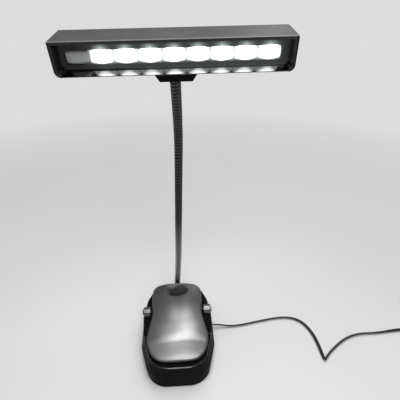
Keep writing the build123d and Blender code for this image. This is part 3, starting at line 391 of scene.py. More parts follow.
def wire_finish(name):
    """The gooseneck's black wire: painted shade darkens its grooves, and a painted highlight lightens its
    crests, most of all low down.
    """
    mat, tree, shader = blank_material(name)
    crest = node(tree, "ShaderNodeAttribute", attribute_name="crest")
    grain = noise(tree, 700.0, 5.0)
    low = between(tree, own_coordinate(tree, "Z"), 1.0, 0.0, *(z * MM for z in PAINTED_HIGHLIGHT_HEIGHTS))
    # painted highlight: the crests are lighter low on the neck, where the lamp's light falls on it
    worn = mixed(tree, low, WIRE_CREST, WIRE_PAINTED_HIGHLIGHT)
    wire = mixed(tree, crest.outputs["Fac"], (0.010, 0.010, 0.010), worn)
    tree.links.new(wire, shader.inputs["Base Color"])
    tree.links.new(between(tree, grain, 0.16, 0.26), shader.inputs["Roughness"])
    shader.inputs["Metallic"].default_value = 1.0
    bumped(tree, shader, grain, 0.03, 0.00004)
    return mat


def pin_finish(name):
    """The hinge pin: blackened between the barrels, with a bright head at its end; the head's inner edge
    stays dark, a painted shade line where it meets the barrel.
    """
    mat, tree, shader = blank_material(name)
    out = calculate(tree, "ABSOLUTE", own_coordinate(tree, "X"))
    bright = between(tree, out, 0.0, 1.0, *(x * MM for x in PIN_PAINTED_GAP_TO))
    steel_tone = mixed(tree, bright, (0.02, 0.02, 0.02), (0.50, 0.50, 0.50))
    tree.links.new(steel_tone, shader.inputs["Base Color"])
    shader.inputs["Metallic"].default_value = 1.0
    grain = noise(tree, 700.0, 5.0, stretch=(0.2, 1.0, 1.0))
    tree.links.new(between(tree, grain, 0.2, 0.3), shader.inputs["Roughness"])
    bumped(tree, shader, grain, 0.02, 0.00004, 0.0003)
    return mat


def circuit_board(name):
    """Green lacquer over copper tracks."""
    mat, tree, shader = blank_material(name)
    coords = node(tree, "ShaderNodeTexCoord")
    bricks = node(tree, "ShaderNodeTexBrick")
    bricks.inputs["Scale"].default_value = 190.0
    bricks.inputs["Mortar Size"].default_value = 0.05
    bricks.inputs["Color1"].default_value = (0.015, 0.12, 0.045, 1.0)
    bricks.inputs["Color2"].default_value = (0.02, 0.15, 0.055, 1.0)
    bricks.inputs["Mortar"].default_value = (0.05, 0.24, 0.09, 1.0)
    tree.links.new(coords.outputs["Object"], bricks.inputs["Vector"])
    tree.links.new(bricks.outputs["Color"], shader.inputs["Base Color"])
    tree.links.new(between(tree, noise(tree, 500.0), 0.3, 0.5), shader.inputs["Roughness"])
    bumped(tree, shader, bricks.outputs["Fac"], 0.2, 0.00006)
    return mat


def cell_wrap(name):
    """A plain printed-film battery sleeve: dark, with a lighter band at one end."""
    mat, tree, shader = blank_material(name)
    band = between(tree, own_coordinate(tree, "Y"), 0.0, 1.0, *(y * MM for y in CELL_BAND_FROM))
    sleeve = mixed(tree, band, (0.05, 0.055, 0.07), (0.50, 0.46, 0.38))
    tree.links.new(sleeve, shader.inputs["Base Color"])
    film = noise(tree, 300.0, 4.0, stretch=(1.0, 0.3, 1.0))
    tree.links.new(between(tree, film, 0.18, 0.34), shader.inputs["Roughness"])
    bumped(tree, shader, film, 0.08, 0.0001, 0.0003)
    return mat


# ------------------------------------------------------------------ pieces


def link(obj, material):
    """Puts an object in the scene with its material."""
    bpy.context.scene.collection.objects.link(obj)
    obj.data.materials.clear()
    obj.data.materials.append(material)
    return obj


def mesh_object(name, verts, faces, material):
    """A mesh from points in metres and lists of corners, its normals pointing out."""
    data = bpy.data.meshes.new(name)
    data.from_pydata([tuple(v) for v in verts], [], faces)
    work = bmesh.new()
    work.from_mesh(data)
    bmesh.ops.remove_doubles(work, verts=work.verts, dist=1e-6)
    bmesh.ops.recalc_face_normals(work, faces=work.faces)
    work.to_mesh(data)
    work.free()
    for face in data.polygons:
        face.use_smooth = True
    return link(bpy.data.objects.new(name, data), material)


def grid_faces(rows, columns, closed=False):
    """The quads of a grid of points laid out row by row."""
    faces = []
    for r in range(rows - 1):
        for c in range(columns if closed else columns - 1):
            d = (c + 1) % columns
            here, above = r * columns, (r + 1) * columns
            faces.append((here + c, here + d, above + d, above + c))
    return faces


def paint(name, material):
    """Gives a CAD node its material."""
    obj = frame["nodes"][name]
    obj.data.materials.clear()
    obj.data.materials.append(material)


# ------------------------------------------------------------------ cord

# the flat twin lead that is drawn: half its width, and the radius of each core
CORD_FLAT = 1.75
CORD_CORE = 0.75
CORD_HEIGHT = 1.9
# how far the lead is turned about its own line, in degrees, and the route's points where it changes
EDGE_ON = -42.0
TURNED = -55.0
FACE_ON = 0.0
CREST_POINT = 6
FOLD_POINT = 10
LEVEL_POINT = 13
CORD_EXIT = (39.6, 19.0, 5.6)
CORD_ROUTE = (
    CORD_EXIT,
    (48.5, 19.0, 5.4),
    (59.9, 18.6, 2.2),
    (75.4, 19.6, CORD_HEIGHT),
    (100.2, 24.6, CORD_HEIGHT),
    (129.1, 28.6, CORD_HEIGHT),
    (146.9, 21.5, CORD_HEIGHT),
    (155.0, 3.0, CORD_HEIGHT),
    (156.0, -15.0, CORD_HEIGHT),
    (155.8, -27.5, CORD_HEIGHT),
    (155.6, -32.4, CORD_HEIGHT),
    (157.6, -30.6, CORD_HEIGHT),
    (166.0, -22.3, CORD_HEIGHT),
    (187.9, -7.5, CORD_HEIGHT),
    (206.8, -1.5, CORD_HEIGHT),
    (230.4, -2.4, CORD_HEIGHT),
    (259.4, 0.8, CORD_HEIGHT),
    (283.4, -1.6, CORD_HEIGHT),
)
COIL_ENTRY = (303.4, 0.35, CORD_HEIGHT)
COIL_CENTRE = (314.4, 30.0)
COIL_RADII = (29.7, 25.4, 21.1, 16.8)
COIL_HEIGHTS = (1.1, 3.2)
# control points in each turn, and the share of a turn after which it moves to the next radius
COIL_POINTS = 16
COIL_STEP = 0.75
CORD_TAIL = ((320.4, 0.6, 3.6), (328.4, 0.9, 3.8), (337.4, -0.3, 3.8))


def coil_points():
    """The wound rest: four turns inwards on the table, then four outwards on top of them."""
    points = []
    radii = [*COIL_RADII, *reversed(COIL_RADII)]
    heights = [COIL_HEIGHTS[0]] * len(COIL_RADII) + [COIL_HEIGHTS[1]] * len(COIL_RADII)
    total = len(radii) * COIL_POINTS
    for i in range(1, total):
        turn, share = divmod(i / COIL_POINTS, 1.0)
        turn = int(turn)
        step = max(0.0, (share - COIL_STEP) / (1.0 - COIL_STEP))
        step = step * step * (3 - 2 * step)
        after = min(turn + 1, len(radii) - 1)
        radius = radii[turn] + (radii[after] - radii[turn]) * step
        height = heights[turn] + (heights[after] - heights[turn]) * step
        angle = math.radians(-90.0) + 2 * math.pi * i / COIL_POINTS
        # the spline runs inside its control points, which stand further out to make up for it
        reach = radius / (0.75 + 0.25 * math.cos(2 * math.pi / COIL_POINTS))
        x = COIL_CENTRE[0] + reach * math.cos(angle)
        y = COIL_CENTRE[1] + reach * math.sin(angle)
        points.append((x, y, height))
    return points


def twin_profile():
    """The section of a flat twin lead: two round cores side by side with a web between."""
    points = []
    for side, first in ((1, -120), (-1, 60)):
        centre = side * (CORD_FLAT - CORD_CORE)
        for i in range(9):
            angle = math.radians(first + 30 * i)
            points.append((centre + CORD_CORE * math.cos(angle), CORD_CORE * math.sin(angle)))
    data = bpy.data.curves.new("twin_profile", "CURVE")
    data.dimensions = "2D"
    spline = data.splines.new("POLY")
    spline.points.add(len(points) - 1)
    for point, (x, y) in zip(spline.points, points):
        point.co = (x * MM, y * MM, 0.0, 1.0)
    spline.use_cyclic_u = True
    profile = bpy.data.objects.new("twin_profile", data)
    bpy.context.scene.collection.objects.link(profile)
    profile.hide_render = True
    profile.hide_viewport = True
    return profile


def make_cord(material):
    """The lead: out of the housing, over the table as in the photograph, then wound up."""
    points = [*CORD_ROUTE, COIL_ENTRY, *coil_points(), *CORD_TAIL]
    data = bpy.data.curves.new("cord", "CURVE")
    data.dimensions = "3D"
    data.twist_mode = "Z_UP"
    data.bevel_mode = "OBJECT"
    data.bevel_object = twin_profile()
    data.resolution_u = 6
    spline = data.splines.new("NURBS")
    spline.points.add(len(points) - 1)
    for point, (x, y, z) in zip(spline.points, points):
        point.co = (x * MM, y * MM, z * MM, 1.0)
    for i, point in enumerate(spline.points):
        if i < CREST_POINT:
            point.tilt = math.radians(EDGE_ON)
        elif i < FOLD_POINT:
            point.tilt = math.radians(FACE_ON)
        elif i < LEVEL_POINT:
            point.tilt = math.radians(TURNED)
        elif i < len(CORD_ROUTE) - 2:
            point.tilt = math.radians(EDGE_ON)
    spline.order_u = 3
    spline.use_endpoint_u = True
    cord = link(bpy.data.objects.new("cord", data), material)
    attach(cord, "base")
    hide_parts("cord_run", "cord_coil", "cord_tail")


# ------------------------------------------------------------------ gooseneck

NECK_RADIUS = 3.5
NECK_GROOVE = 0.8
NECK_PITCH = 3.3
NECK_STEP = 0.33
NECK_SIDES = 24
# how far along the line its direction is read, and the height of a ridge where its painted shine starts
NECK_LOOK = 0.5
PAINTED_SHINE_FROM = 0.35
# the wire's tone on its crests, the lighter tone of the painted highlight on the crests low down, and the
# heights over which that highlight fades
WIRE_CREST = (0.05, 0.05, 0.051)
WIRE_PAINTED_HIGHLIGHT = (0.55, 0.55, 0.55)
PAINTED_HIGHLIGHT_HEIGHTS = (60.0, 150.0)
NECK_END = (6.553, -37.146, 293.956)
# Two of the neck's joints, named from the lower link up; the stretches at them are built like the others.
BENT_FROM_ABOVE = (5, 9)


def neck_line():
    """The neck's joints, in millimetres, with the point where it enters the head's bracket."""
    joints = [j for j in frame["record"]["behaviour"]["joints"] if j["name"].startswith("neck_")]
    joints.sort(key=lambda j: int(j["name"].rsplit("_", 1)[1]))
    return [np.array(j["pos_m"]) / MM for j in joints] + [np.array(NECK_END)]


def smooth_line(points, per_span=120):
    """A smooth line through the points, with each point's place along it."""
    ends = [2 * points[0] - points[1], *points, 2 * points[-1] - points[-2]]
    line, marks = [], []
    for a, b, c, d in zip(ends, ends[1:], ends[2:], ends[3:]):
        marks.append(len(line))
        for t in np.linspace(0.0, 1.0, per_span, endpoint=False):
            square = (2 * a - 5 * b + 4 * c - d) * t * t
            cube = (3 * b - a - 3 * c + d) * t**3
            line.append(0.5 * (2 * b + (c - a) * t + square + cube))
    line.append(points[-1])
    marks.append(len(line) - 1)
    line = np.array(line)
    along = np.concatenate([[0.0], np.cumsum(np.linalg.norm(np.diff(line, axis=0), axis=1))])
    return line, along, [along[m] for m in marks]


def wire_tube(line, along, start, end):
    """A stretch of the neck: wire wound edge to edge, as a helix of round ridges."""
    def place(s):
        return np.array([np.interp(s, along, line[:, k]) for k in range(3)])

    count = max(2, round((end - start) / NECK_STEP))
    verts, crests = [], []
    for s in np.linspace(start, end, count + 1):
        middle = place(s)
        ahead = place(min(s + NECK_LOOK, along[-1]))
        behind = place(max(s - NECK_LOOK, 0.0))
        way = (ahead - behind) / np.linalg.norm(ahead - behind)
        side = np.cross(way, (0.0, 1.0, 0.0))
        side /= np.linalg.norm(side)
        up = np.cross(side, way)
        for k in range(NECK_SIDES):
            angle = 2 * math.pi * k / NECK_SIDES
            share = (s / NECK_PITCH + k / NECK_SIDES) % 1.0
            ridge = math.sqrt(max(0.0, 1.0 - (2 * share - 1.0) ** 2))
            radius = NECK_RADIUS - NECK_GROOVE * (1.0 - ridge)
            verts.append((middle + radius * (math.cos(angle) * side + math.sin(angle) * up)) * MM)
            # the crest value: where the painted shine and the painted shade sit on each ridge
            crests.append(max(0.0, (ridge - PAINTED_SHINE_FROM) / (1.0 - PAINTED_SHINE_FROM)))
    return verts, grid_faces(count + 1, NECK_SIDES, closed=True), crests


def make_neck(material):
    """The gooseneck in ten stretches, cut midway along the links; the first nine stay where they are built,
    in place of the neck's links, and the last goes with the top link.
    """
    points = neck_line()
    line, along, marks = smooth_line(points)
    middles = [(a + b) / 2 for a, b in zip(marks, marks[1:])]
    cuts = [0.0, *middles, along[-1]]
    links = len(points) - 1
    for i, (start, end) in enumerate(zip(cuts, cuts[1:])):
        verts, faces, crests = wire_tube(line, along, start, end)
        piece = mesh_object(f"gooseneck_{i}", verts, faces, material)
        crest = piece.data.attributes.new("crest", "FLOAT", "POINT")
        crest.data.foreach_set("value", crests)
        if i < links:
            if i + 1 in BENT_FROM_ABOVE:
                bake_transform(piece)
            else:
                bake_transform(piece)
            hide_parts(f"neck_link_{i + 1}")
        else:
            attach(piece, f"neck_{links}")


# ------------------------------------------------------------------ head

HEAD_AT = (6.6, -47.0, 316.0)
HEAD_TURN = (-1.4, 9.8, -1.2)
HEAD_HALF = 70.0
HEAD_DEPTH = 26.4
LIP_TOP = -17.0
LIGHT_PITCH = 14.0
LIGHT_SHIFT = -0.6
LIGHT_COUNT = 9
LIGHT_Z = -10.35
# the cell at the left end is unlit
LIT_COUNT = LIGHT_COUNT - 1
LIP_EDGE = (LIP_TOP - 0.05, LIP_TOP + 0.15)
# the glare in a cell: its half width as a share of the pitch, its middle and its half height
GLARE_WIDTH = 0.42
GLARE_MIDDLE = LIGHT_Z + 3.6
GLARE_HEIGHT = 8.0
# the light painted on the panel as its own glow: the strength of its stars and of its spill, and the heights
# the stars span
PANEL_PAINTED_STAR = 0.9
PANEL_PAINTED_SPILL = 0.035
PAINTED_STAR_HEIGHTS = (-6.4, -2.0)
LENS_ROWS = 15
LENS_COLUMNS = 29
LENS_GAP = 0.11
LENS_HALF_HEIGHT = 3.95
LENS_BULGE = 1.6
LENS_SCALLOP = 0.27
LENS_BACK = 7.5
LENS_RIM = 0.4
# the outer corners of the strip are rounded from this share of a cell's half width
LENS_CORNER = 0.8
LENS_CORNER_DROP = 1.2


def head_matrix():
    """The head's frame: origin at the middle of its upper front edge."""
    yaw, tilt, roll = (math.radians(a) for a in HEAD_TURN)
    turn = Matrix.Rotation(yaw, 4, "Z") @ Matrix.Rotation(tilt, 4, "X") @ Matrix.Rotation(roll, 4, "Y")
    return Matrix.Translation(Vector(HEAD_AT) * MM) @ turn


def in_head(points):
    """Points from the head's frame, in millimetres, to the lamp's, in metres."""
    matrix = head_matrix()
    return [matrix @ (Vector(p) * MM) for p in points]


def lens_cell(index):
    """One cell's lens: a bulged face, its upper and lower edges arched, on straight sides."""
    middle = LIGHT_SHIFT + (index - (LIGHT_COUNT - 1) / 2) * LIGHT_PITCH
    half = LIGHT_PITCH / 2 - LENS_GAP
    front, back = [], []
    for v in (-1 + 2 * r / (LENS_ROWS - 1) for r in range(LENS_ROWS)):
        for u in (-1 + 2 * c / (LENS_COLUMNS - 1) for c in range(LENS_COLUMNS)):
            height = LENS_HALF_HEIGHT * (1.0 - LENS_SCALLOP * abs(u) ** 2.2)
            outer = (index == 0 and u < 0.0) or (index == LIGHT_COUNT - 1 and u > 0.0)
            if outer and abs(u) > LENS_CORNER:
                corner = (abs(u) - LENS_CORNER) / (1.0 - LENS_CORNER)
                height -= LENS_CORNER_DROP * (1.0 - math.sqrt(1.0 - min(1.0, corner) ** 2))
            x = middle + half * u
            z = LIGHT_Z + height * v
            bulge = (1.0 - u * u) * (1.0 - 0.45 * v * v) * (1.0 - v**8)
            edge = 0.5 * (1.0 - max(abs(v) ** 10, abs(u) ** 14))
            front.append((x, LENS_BACK - LENS_RIM - edge - LENS_BULGE * bulge, z))
            back.append((x, LENS_BACK, z))
    faces = grid_faces(LENS_ROWS, LENS_COLUMNS)
    count = len(front)
    faces += [tuple(count + i for i in reversed(face)) for face in faces]
    rim = list(range(LENS_COLUMNS))
    rim += [r * LENS_COLUMNS + LENS_COLUMNS - 1 for r in range(1, LENS_ROWS)]
    rim += [(LENS_ROWS - 1) * LENS_COLUMNS + c for c in range(LENS_COLUMNS - 2, -1, -1)]
    rim += [r * LENS_COLUMNS for r in range(LENS_ROWS - 2, 0, -1)]
    for a, b in zip(rim, [*rim[1:], rim[0]]):
        faces.append((a, a + count, b + count, b))
    return [*front, *back], faces


def make_lenses(lit, clear):
    """Eight lit cells and the unlit one at the left end."""
    verts, faces = [], []
    for index in range(1, LIGHT_COUNT):
        some, more = lens_cell(index)
        faces += [tuple(i + len(verts) for i in face) for face in more]
        verts += some
    strip = mesh_object("lit_lenses", in_head(verts), faces, lit)
    verts, faces = lens_cell(0)
    single = mesh_object("clear_lens", in_head(verts), faces, clear)
    for piece in (strip, single):
        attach(piece, "neck_9")
        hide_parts("lens_strip")


# ------------------------------------------------------------------ lever

PLATE_PROFILE = (
    (45.0, 50.3),
    (26.0, 52.0),
    (7.0, 52.0),
    (-8.0, 50.3),
    (-19.0, 47.1),
    (-28.5, 43.3),
    (-34.0, 40.1),
    (-41.0, 35.8),
    (-46.0, 31.8),
)
PLATE_SIDE = (
    (0.0, -45.2),
    (11.0, -44.8),
    (19.3, -43.2),
    (25.0, -39.2),
    (28.7, -33.0),
    (30.7, -23.5),
    (27.9, -9.5),
    (26.2, 4.0),
    (27.2, 24.0),
    (27.0, 32.9),
)
PLATE_REAR = 43.0
PLATE_TAIL_RADIUS = 9.5
PLATE_THICKNESS = 3.0
PLATE_CROWN = 95.0
NOSE_CROWN = 170.0
CROWN_BAND = (-36.0, -18.0)
PLATE_RISE = 0.8
PLATE_ROLL = 1.3
PLATE_SPINE = (-34.0, 30.0)
PLATE_DARK = (0.20, 0.20, 0.202)
PLATE_LIGHT = (0.24, 0.24, 0.242)
DISH_AT = (0.0, 31.2)
DISH_RADII = (12.3, 10.6)
DISH_DEPTH = 2.3
# rings from the spine to the edge, crowded towards the edge, then the drop and pull of each below it
PLATE_RINGS = 44
PLATE_CROWDING = 1.5
PLATE_UNDER = ((2.3, 0.0), (2.8, 0.3), (3.0, 0.9))


def through(points, steps):
    """Points along a smooth line through some others, in two dimensions."""
    flat = [np.array((x, y, 0.0)) for x, y in points]
    line, along, _ = smooth_line(flat, 40)
    spots = np.linspace(0.0, along[-1], steps)
    return [(np.interp(s, along, line[:, 0]), np.interp(s, along, line[:, 1])) for s in spots]


def plate_outline():
    """The plate's outline from the nose's middle, up the right side, to the tail's middle."""
    side = through(PLATE_SIDE, 150)
    side_x, side_y = PLATE_SIDE[-1]
    corner_x = side_x - PLATE_TAIL_RADIUS
    tail_y = side_y + PLATE_TAIL_RADIUS
    tail = []
    for t in np.linspace(0.0, 90.0, 20)[1:]:
        angle = math.radians(t)
        x = corner_x + PLATE_TAIL_RADIUS * math.cos(angle)
        tail.append((x, side_y + PLATE_TAIL_RADIUS * math.sin(angle)))
    rear = []
    for t in np.linspace(0.05, 1.0, 20):
        rear.append((corner_x * (1 - t), tail_y + (PLATE_REAR - tail_y) * (1 - (1 - t) ** 2)))
    return [*side, *tail, *rear]


def plate_height(x, y, lines):
    """The plate's top at a place: its curve from back to front, crowned across."""
    ys, zs = lines
    flatness = float(np.interp(y, CROWN_BAND, (1.0, 0.0)))
    flatness = flatness * flatness * (3 - 2 * flatness)
    bend = (1.0 - flatness) / PLATE_CROWN + flatness / NOSE_CROWN
    return float(np.interp(y, ys, zs)) + PLATE_RISE - x * x * bend / 2


def plate_top(x, y, edge, lines):
    """The plate's upper face at a place: rolled over near its edge, and sunk in its dish."""
    z = plate_height(x, y, lines)
    if edge < PLATE_ROLL:
        z -= PLATE_ROLL - math.sqrt(max(0.0, PLATE_ROLL**2 - (PLATE_ROLL - edge) ** 2))
    away = math.hypot((x - DISH_AT[0]) / DISH_RADII[0], (y - DISH_AT[1]) / DISH_RADII[1])
    if away < 1.0:
        z -= DISH_DEPTH * (1.0 - away**3)
    return z


def spine_at(y):
    """The place on the plate's spine that a point of its outline is drawn in towards."""
    return min(max(y, PLATE_SPINE[0]), PLATE_SPINE[1])


def make_lever(material):
    """The satin plate: crowned across, rolled over at its edge, with the thumb dish."""
    curve = through(PLATE_PROFILE, 200)
    lines = tuple(np.array([c[k] for c in reversed(curve)]) for k in range(2))
    right = plate_outline()
    outline = right + [(-x, y) for x, y in reversed(right[1:-1])]
    verts = []
    for t in np.linspace(0.0, 1.0, PLATE_RINGS):
        share = 1.0 - (1.0 - t) ** PLATE_CROWDING
        for x, y in outline:
            spine = spine_at(y)
            edge = math.hypot(x, y - spine) * (1.0 - share)
            x, y = x * share, spine + (y - spine) * share
            verts.append((x * MM, y * MM, plate_top(x, y, edge, lines) * MM))
    for drop, pull in PLATE_UNDER:
        for x, y in outline:
            spine = spine_at(y)
            share = 1.0 - pull / math.hypot(x, y - spine)
            x, y = x * share, spine + (y - spine) * share
            verts.append((x * MM, y * MM, (plate_height(x, y, lines) - drop) * MM))
    for x, y in outline:
        spine = spine_at(y)
        verts.append((0.0, spine * MM, (plate_height(0.0, spine, lines) - PLATE_THICKNESS) * MM))
    rows = PLATE_RINGS + len(PLATE_UNDER) + 1
    plate = mesh_object("lever_top", verts, grid_faces(rows, len(outline), closed=True), material)
    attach(plate, "lever")
    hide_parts("lever_plate")


# ------------------------------------------------------------------ torsion spring

PIN_AT = (7.2, 45.0)
SPRING_RADIUS = 3.0
SPRING_WIRE = 0.5
SPRING_PITCH = 1.15
SPRING_START = 238.4
SPRING_SWEEP = 5 * 360.0 + 148.4
SPRING_FOOT = (4.57, 26.0, 29.9)
SPRING_TIP = (-3.67, 16.4, 48.0)
# the arc that turns with the lever lies inside the coil's own wire at rest
LEG_ARC = 30.0
LEG_WIRE = 0.46
WIRE_SIDES = 12


def wire_piece(name, points, radius, material):
    """A round wire along points that stay near a plane square to the pin."""
    points = [np.array(p, float) for p in points]
    verts = []
    for i, point in enumerate(points):
        way = points[min(i + 1, len(points) - 1)] - points[max(i - 1, 0)]
        way /= np.linalg.norm(way)
        side = np.cross(way, (1.0, 0.0, 0.0))
        side /= np.linalg.norm(side)
        up = np.cross(side, way)
        for k in range(WIRE_SIDES):
            angle = 2 * math.pi * k / WIRE_SIDES
            verts.append((point + radius * (math.cos(angle) * side + math.sin(angle) * up)) * MM)
    faces = grid_faces(len(points), WIRE_SIDES, closed=True)
    last = (len(points) - 1) * WIRE_SIDES
    faces.append(tuple(range(WIRE_SIDES)))
    faces.append(tuple(last + k for k in range(WIRE_SIDES)))
    piece = mesh_object(name, verts, faces, material)
    return piece


def spring_arc(start, end):
    """Points of the coil between two angles of its sweep, in degrees."""
    reach = SPRING_PITCH * SPRING_SWEEP / 360.0
    points = []
    for turned in np.linspace(start, end, max(3, round((end - start) / 10.0) + 1)):
        angle = math.radians(SPRING_START - turned)
        y = PIN_AT[0] + SPRING_RADIUS * math.cos(angle)
        z = PIN_AT[1] + SPRING_RADIUS * math.sin(angle)
        points.append((reach / 2 - SPRING_PITCH * turned / 360.0, y, z))
    return points


def make_spring(material):
    """The clip's spring: its coil and resting leg stay, and its other leg turns with the lever."""
    turns = spring_arc(0.0, SPRING_SWEEP)
    coil = wire_piece("spring_coil", [SPRING_FOOT, *turns], SPRING_WIRE, material)
    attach(coil, "base")
    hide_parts("torsion_spring")
    arc = spring_arc(SPRING_SWEEP - LEG_ARC, SPRING_SWEEP)
    leg = wire_piece("spring_leg", [*arc, SPRING_TIP], LEG_WIRE, material)
    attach(leg, "lever")


# ------------------------------------------------------------------ stage and light

PALE = (0.72, 0.72, 0.72)
FLOOR_DROP = 0.1
# in metres: half the floor's side, and how far from the lamp it starts and ends to fade
FLOOR_HALF = 12.0
FADE = (0.28, 0.95)
# the world's light grows between these two slopes of a ray
HORIZON = 0.03
ZENITH = 0.30
# in metres and watts: where a light hangs, what it looks at, its two sides and its power
AREA_LIGHTS = {
    "overhead": ((0.06, -0.06, 1.35), (0.04, -0.02, 0.1), (0.95, 0.42), 4.8),
    "overhead_back": ((0.10, 0.52, 1.30), (0.0, 0.0, 0.1), (0.5, 0.5), 3.3),
    "front": ((0.08, -0.95, 1.1), (0.0, 0.0, 0.1), (0.6, 0.6), 5.4),
}


def make_stage():
    """A plain pale floor that fades, further off, into a backdrop of the same tone."""
    mat, tree, shader = blank_material("floor")
    path = node(tree, "ShaderNodeLightPath")
    cloud = between(tree, noise(tree, 3.0, 2.0), 0.0, 1.0)
    seen = mixed(tree, cloud, (0.87, 0.87, 0.87), (0.90, 0.90, 0.90))
    glossy, through_glass = path.outputs["Is Glossy Ray"], path.outputs["Is Transmission Ray"]
    mirrored = calculate(tree, "MAXIMUM", glossy, through_glass)
    direct = calculate(tree, "MAXIMUM", path.outputs["Is Camera Ray"], mirrored)
    # less light comes back from the floor than the camera sees on it
    tree.links.new(mixed(tree, direct, (0.62, 0.62, 0.62), seen), shader.inputs["Base Color"])
    shader.inputs["Roughness"].default_value = 0.85
    shader.inputs["Specular IOR Level"].default_value = 0.2
    coords = node(tree, "ShaderNodeTexCoord")
    far = node(tree, "ShaderNodeVectorMath", operation="LENGTH")
    tree.links.new(coords.outputs["Object"], far.inputs[0])
    faded = between(tree, far.outputs["Value"], 0.0, 1.0, *FADE)
    fade = calculate(tree, "MULTIPLY", faded, path.outputs["Is Camera Ray"])
    glow = node(tree, "ShaderNodeEmission")
    glow.inputs["Color"].default_value = (*PALE, 1.0)
    mix = node(tree, "ShaderNodeMixShader")
    tree.links.new(fade, mix.inputs[0])
    tree.links.new(shader.outputs["BSDF"], mix.inputs[1])
    tree.links.new(glow.outputs["Emission"], mix.inputs[2])
    tree.links.new(mix.outputs["Shader"], tree.nodes["Material Output"].inputs["Surface"])
    corners = ((-1, -1), (1, -1), (1, 1), (-1, 1))
    verts = [(x * FLOOR_HALF, y * FLOOR_HALF, -FLOOR_DROP * MM) for x, y in corners]
    data = bpy.data.meshes.new("floor")
    data.from_pydata(verts, [], [(0, 1, 2, 3)])
    link(bpy.data.objects.new("floor", data), mat)
    make_world()


def make_world():
    """Soft light from above, fainter near the horizon; the camera sees a plain backdrop."""
    world = bpy.data.worlds.new("world")
    world.use_nodes = True
    tree = world.node_tree
    light = tree.nodes["Background"]
    light.inputs["Color"].default_value = (1.0, 1.0, 1.0, 1.0)
    coords = node(tree, "ShaderNodeTexCoord")
    split = node(tree, "ShaderNodeSeparateXYZ")
    tree.links.new(coords.outputs["Generated"], split.inputs["Vector"])
    strength = between(tree, split.outputs["Z"], HORIZON, ZENITH, 0.1, 1.0)
    tree.links.new(strength, light.inputs["Strength"])
    seen = node(tree, "ShaderNodeBackground")
    seen.inputs["Color"].default_value = (*PALE, 1.0)
    path = node(tree, "ShaderNodeLightPath")
    mix = node(tree, "ShaderNodeMixShader")
    tree.links.new(path.outputs["Is Camera Ray"], mix.inputs[0])
    tree.links.new(light.outputs["Background"], mix.inputs[1])
    tree.links.new(seen.outputs["Background"], mix.inputs[2])
    tree.links.new(mix.outputs["Shader"], tree.nodes["World Output"].inputs["Surface"])
    bpy.context.scene.world = world


def hang(data, at, aim):
    """Hangs a lamp so that it looks at a point."""
    lamp = bpy.data.objects.new(data.name, data)
    lamp.location = at
    lamp.rotation_euler = (Vector(aim) - Vector(at)).to_track_quat("-Z", "Y").to_euler()
    bpy.context.scene.collection.objects.link(lamp)
    return lamp


def make_light(name, at, aim, sides, power):
    """A soft rectangular lamp."""
    data = bpy.data.lights.new(name, "AREA")
    data.shape = "RECTANGLE"
    data.size, data.size_y = sides
    data.energy = power
    return hang(data, at, aim)


def make_spot(name, at, aim, angle, power, size):
    """A small lamp that lights a soft-edged cone."""
    data = bpy.data.lights.new(name, "SPOT")
    data.energy = power
    data.spot_size = math.radians(angle)
    data.spot_blend = 1.0
    data.shadow_soft_size = size
    hang(data, at, aim).visible_camera = False


def make_lights():
    """A soft studio light overhead, fills from the front and the back, and the lamp's own glow."""
    for name, values in AREA_LIGHTS.items():
        make_light(name, *values)
    make_spot("back", (0.42, 1.35, 0.95), (0.01, -0.05, 0.31), 13.0, 26.0, 0.5)
    below_head = tuple(in_head([(16.0, -12.0, -32.0)])[0])
    make_light("glow", below_head, (0.0, -0.02, 0.04), (0.12, 0.03), 0.12).visible_camera = False


# ------------------------------------------------------------------ build

make_camera()
make_stage()
make_lights()

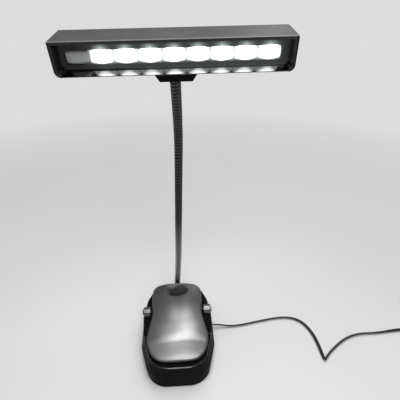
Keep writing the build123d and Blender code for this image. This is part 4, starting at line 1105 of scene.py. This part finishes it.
case_painted_rim = case_finish("case_painted_rim")
case_matte = moulded("case_matte", (0.005, 0.005, 0.005), (0.008, 0.008, 0.009), 0.48, gloss=0.03)
panel_gloss = panel_finish("panel_gloss")
rubber = moulded("rubber", (0.018, 0.018, 0.018), (0.03, 0.03, 0.03), 0.72, 3200.0, 0.3, 0.0003)
rubber_grey = moulded("rubber_grey", (0.055, 0.055, 0.06), (0.085, 0.085, 0.09), 0.66, 3200.0, 0.3, 0.0003)
cord_skin = moulded("cord_skin", (0.014, 0.014, 0.015), (0.022, 0.022, 0.023), 0.34, 1500.0, 0.10, 0.0)
white_plastic = moulded("white_plastic", (0.48, 0.49, 0.49), (0.56, 0.57, 0.57), 0.22, 1400.0, 0.05, 0.0002)
lead_skin = moulded("lead_skin", (0.28, 0.02, 0.015), (0.36, 0.03, 0.02), 0.45, 1800.0, 0.08, 0.0)
led_skin = moulded("led_skin", (0.50, 0.48, 0.36), (0.60, 0.58, 0.46), 0.35, 1600.0, 0.10, 0.0)
hood_paint = hood_finish("hood_paint")
plate_paint = plate_finish("plate_paint")
chrome = metal("chrome", (0.15, 0.15, 0.152), (0.19, 0.19, 0.192), 0.28, (1.0, 0.1, 0.1), 2600.0, 0.004, 0.0)
steel = metal("steel", (0.40, 0.40, 0.40), (0.56, 0.55, 0.54), 0.34, (1.0, 1.0, 0.3), 800.0, 0.10)
nickel = metal("nickel", (0.50, 0.49, 0.46), (0.66, 0.64, 0.60), 0.26, bump=0.08)
BLACK_TONES = ((0.035, 0.035, 0.036), (0.060, 0.060, 0.061))
black_metal = metal("black_wire", *BLACK_TONES, 0.20, scale=700.0, bump=0.03, edge=0.0)
pin_steel = pin_finish("pin_steel")
green_board = circuit_board("green_board")
wrap = cell_wrap("cell_wrap")
lit = lamp_glass("lit_lens", 12.0)
clear = clear_plastic("clear_lens")

FINISHES = {
    case_painted_rim: ("top_case",),
    case_matte: (
        "bottom_case",
        "battery_door",
        "lever_frame",
        "head_bracket",
        "tact_switch",
        "switch_plunger",
    ),
    panel_gloss: ("head_bezel",),
    hood_paint: ("head_cover",),
    rubber: ("rubber_foot", "cord_grommet", "plug_body"),
    rubber_grey: ("lower_jaw_pad", "upper_jaw_pad", "coil_tie", "power_button"),
    chrome: ("hinge_barrels", "hinge_pin_cap"),
    pin_steel: ("hinge_pin",),
    black_metal: ("neck_collar",),
    steel: ("base_screws", "lever_screws", "head_screws", "neck_nut"),
    nickel: ("contact_plates", "contact_springs", "plug_shell"),
    white_plastic: ("reflector", "plug_tongue"),
    led_skin: ("led_chips",),
    green_board: ("led_board", "base_board"),
    wrap: ("battery_cells",),
    lead_skin: tuple(f"neck_lead_{i}" for i in range(1, 10)),
}
for finish, names in FINISHES.items():
    for name in names:
        paint(name, finish)

make_cord(cord_skin)
make_neck(wire_finish("neck_wire"))
make_lenses(lit, clear)
make_lever(plate_paint)
make_spring(nickel)

bpy.context.scene.view_settings.view_transform = "Standard"
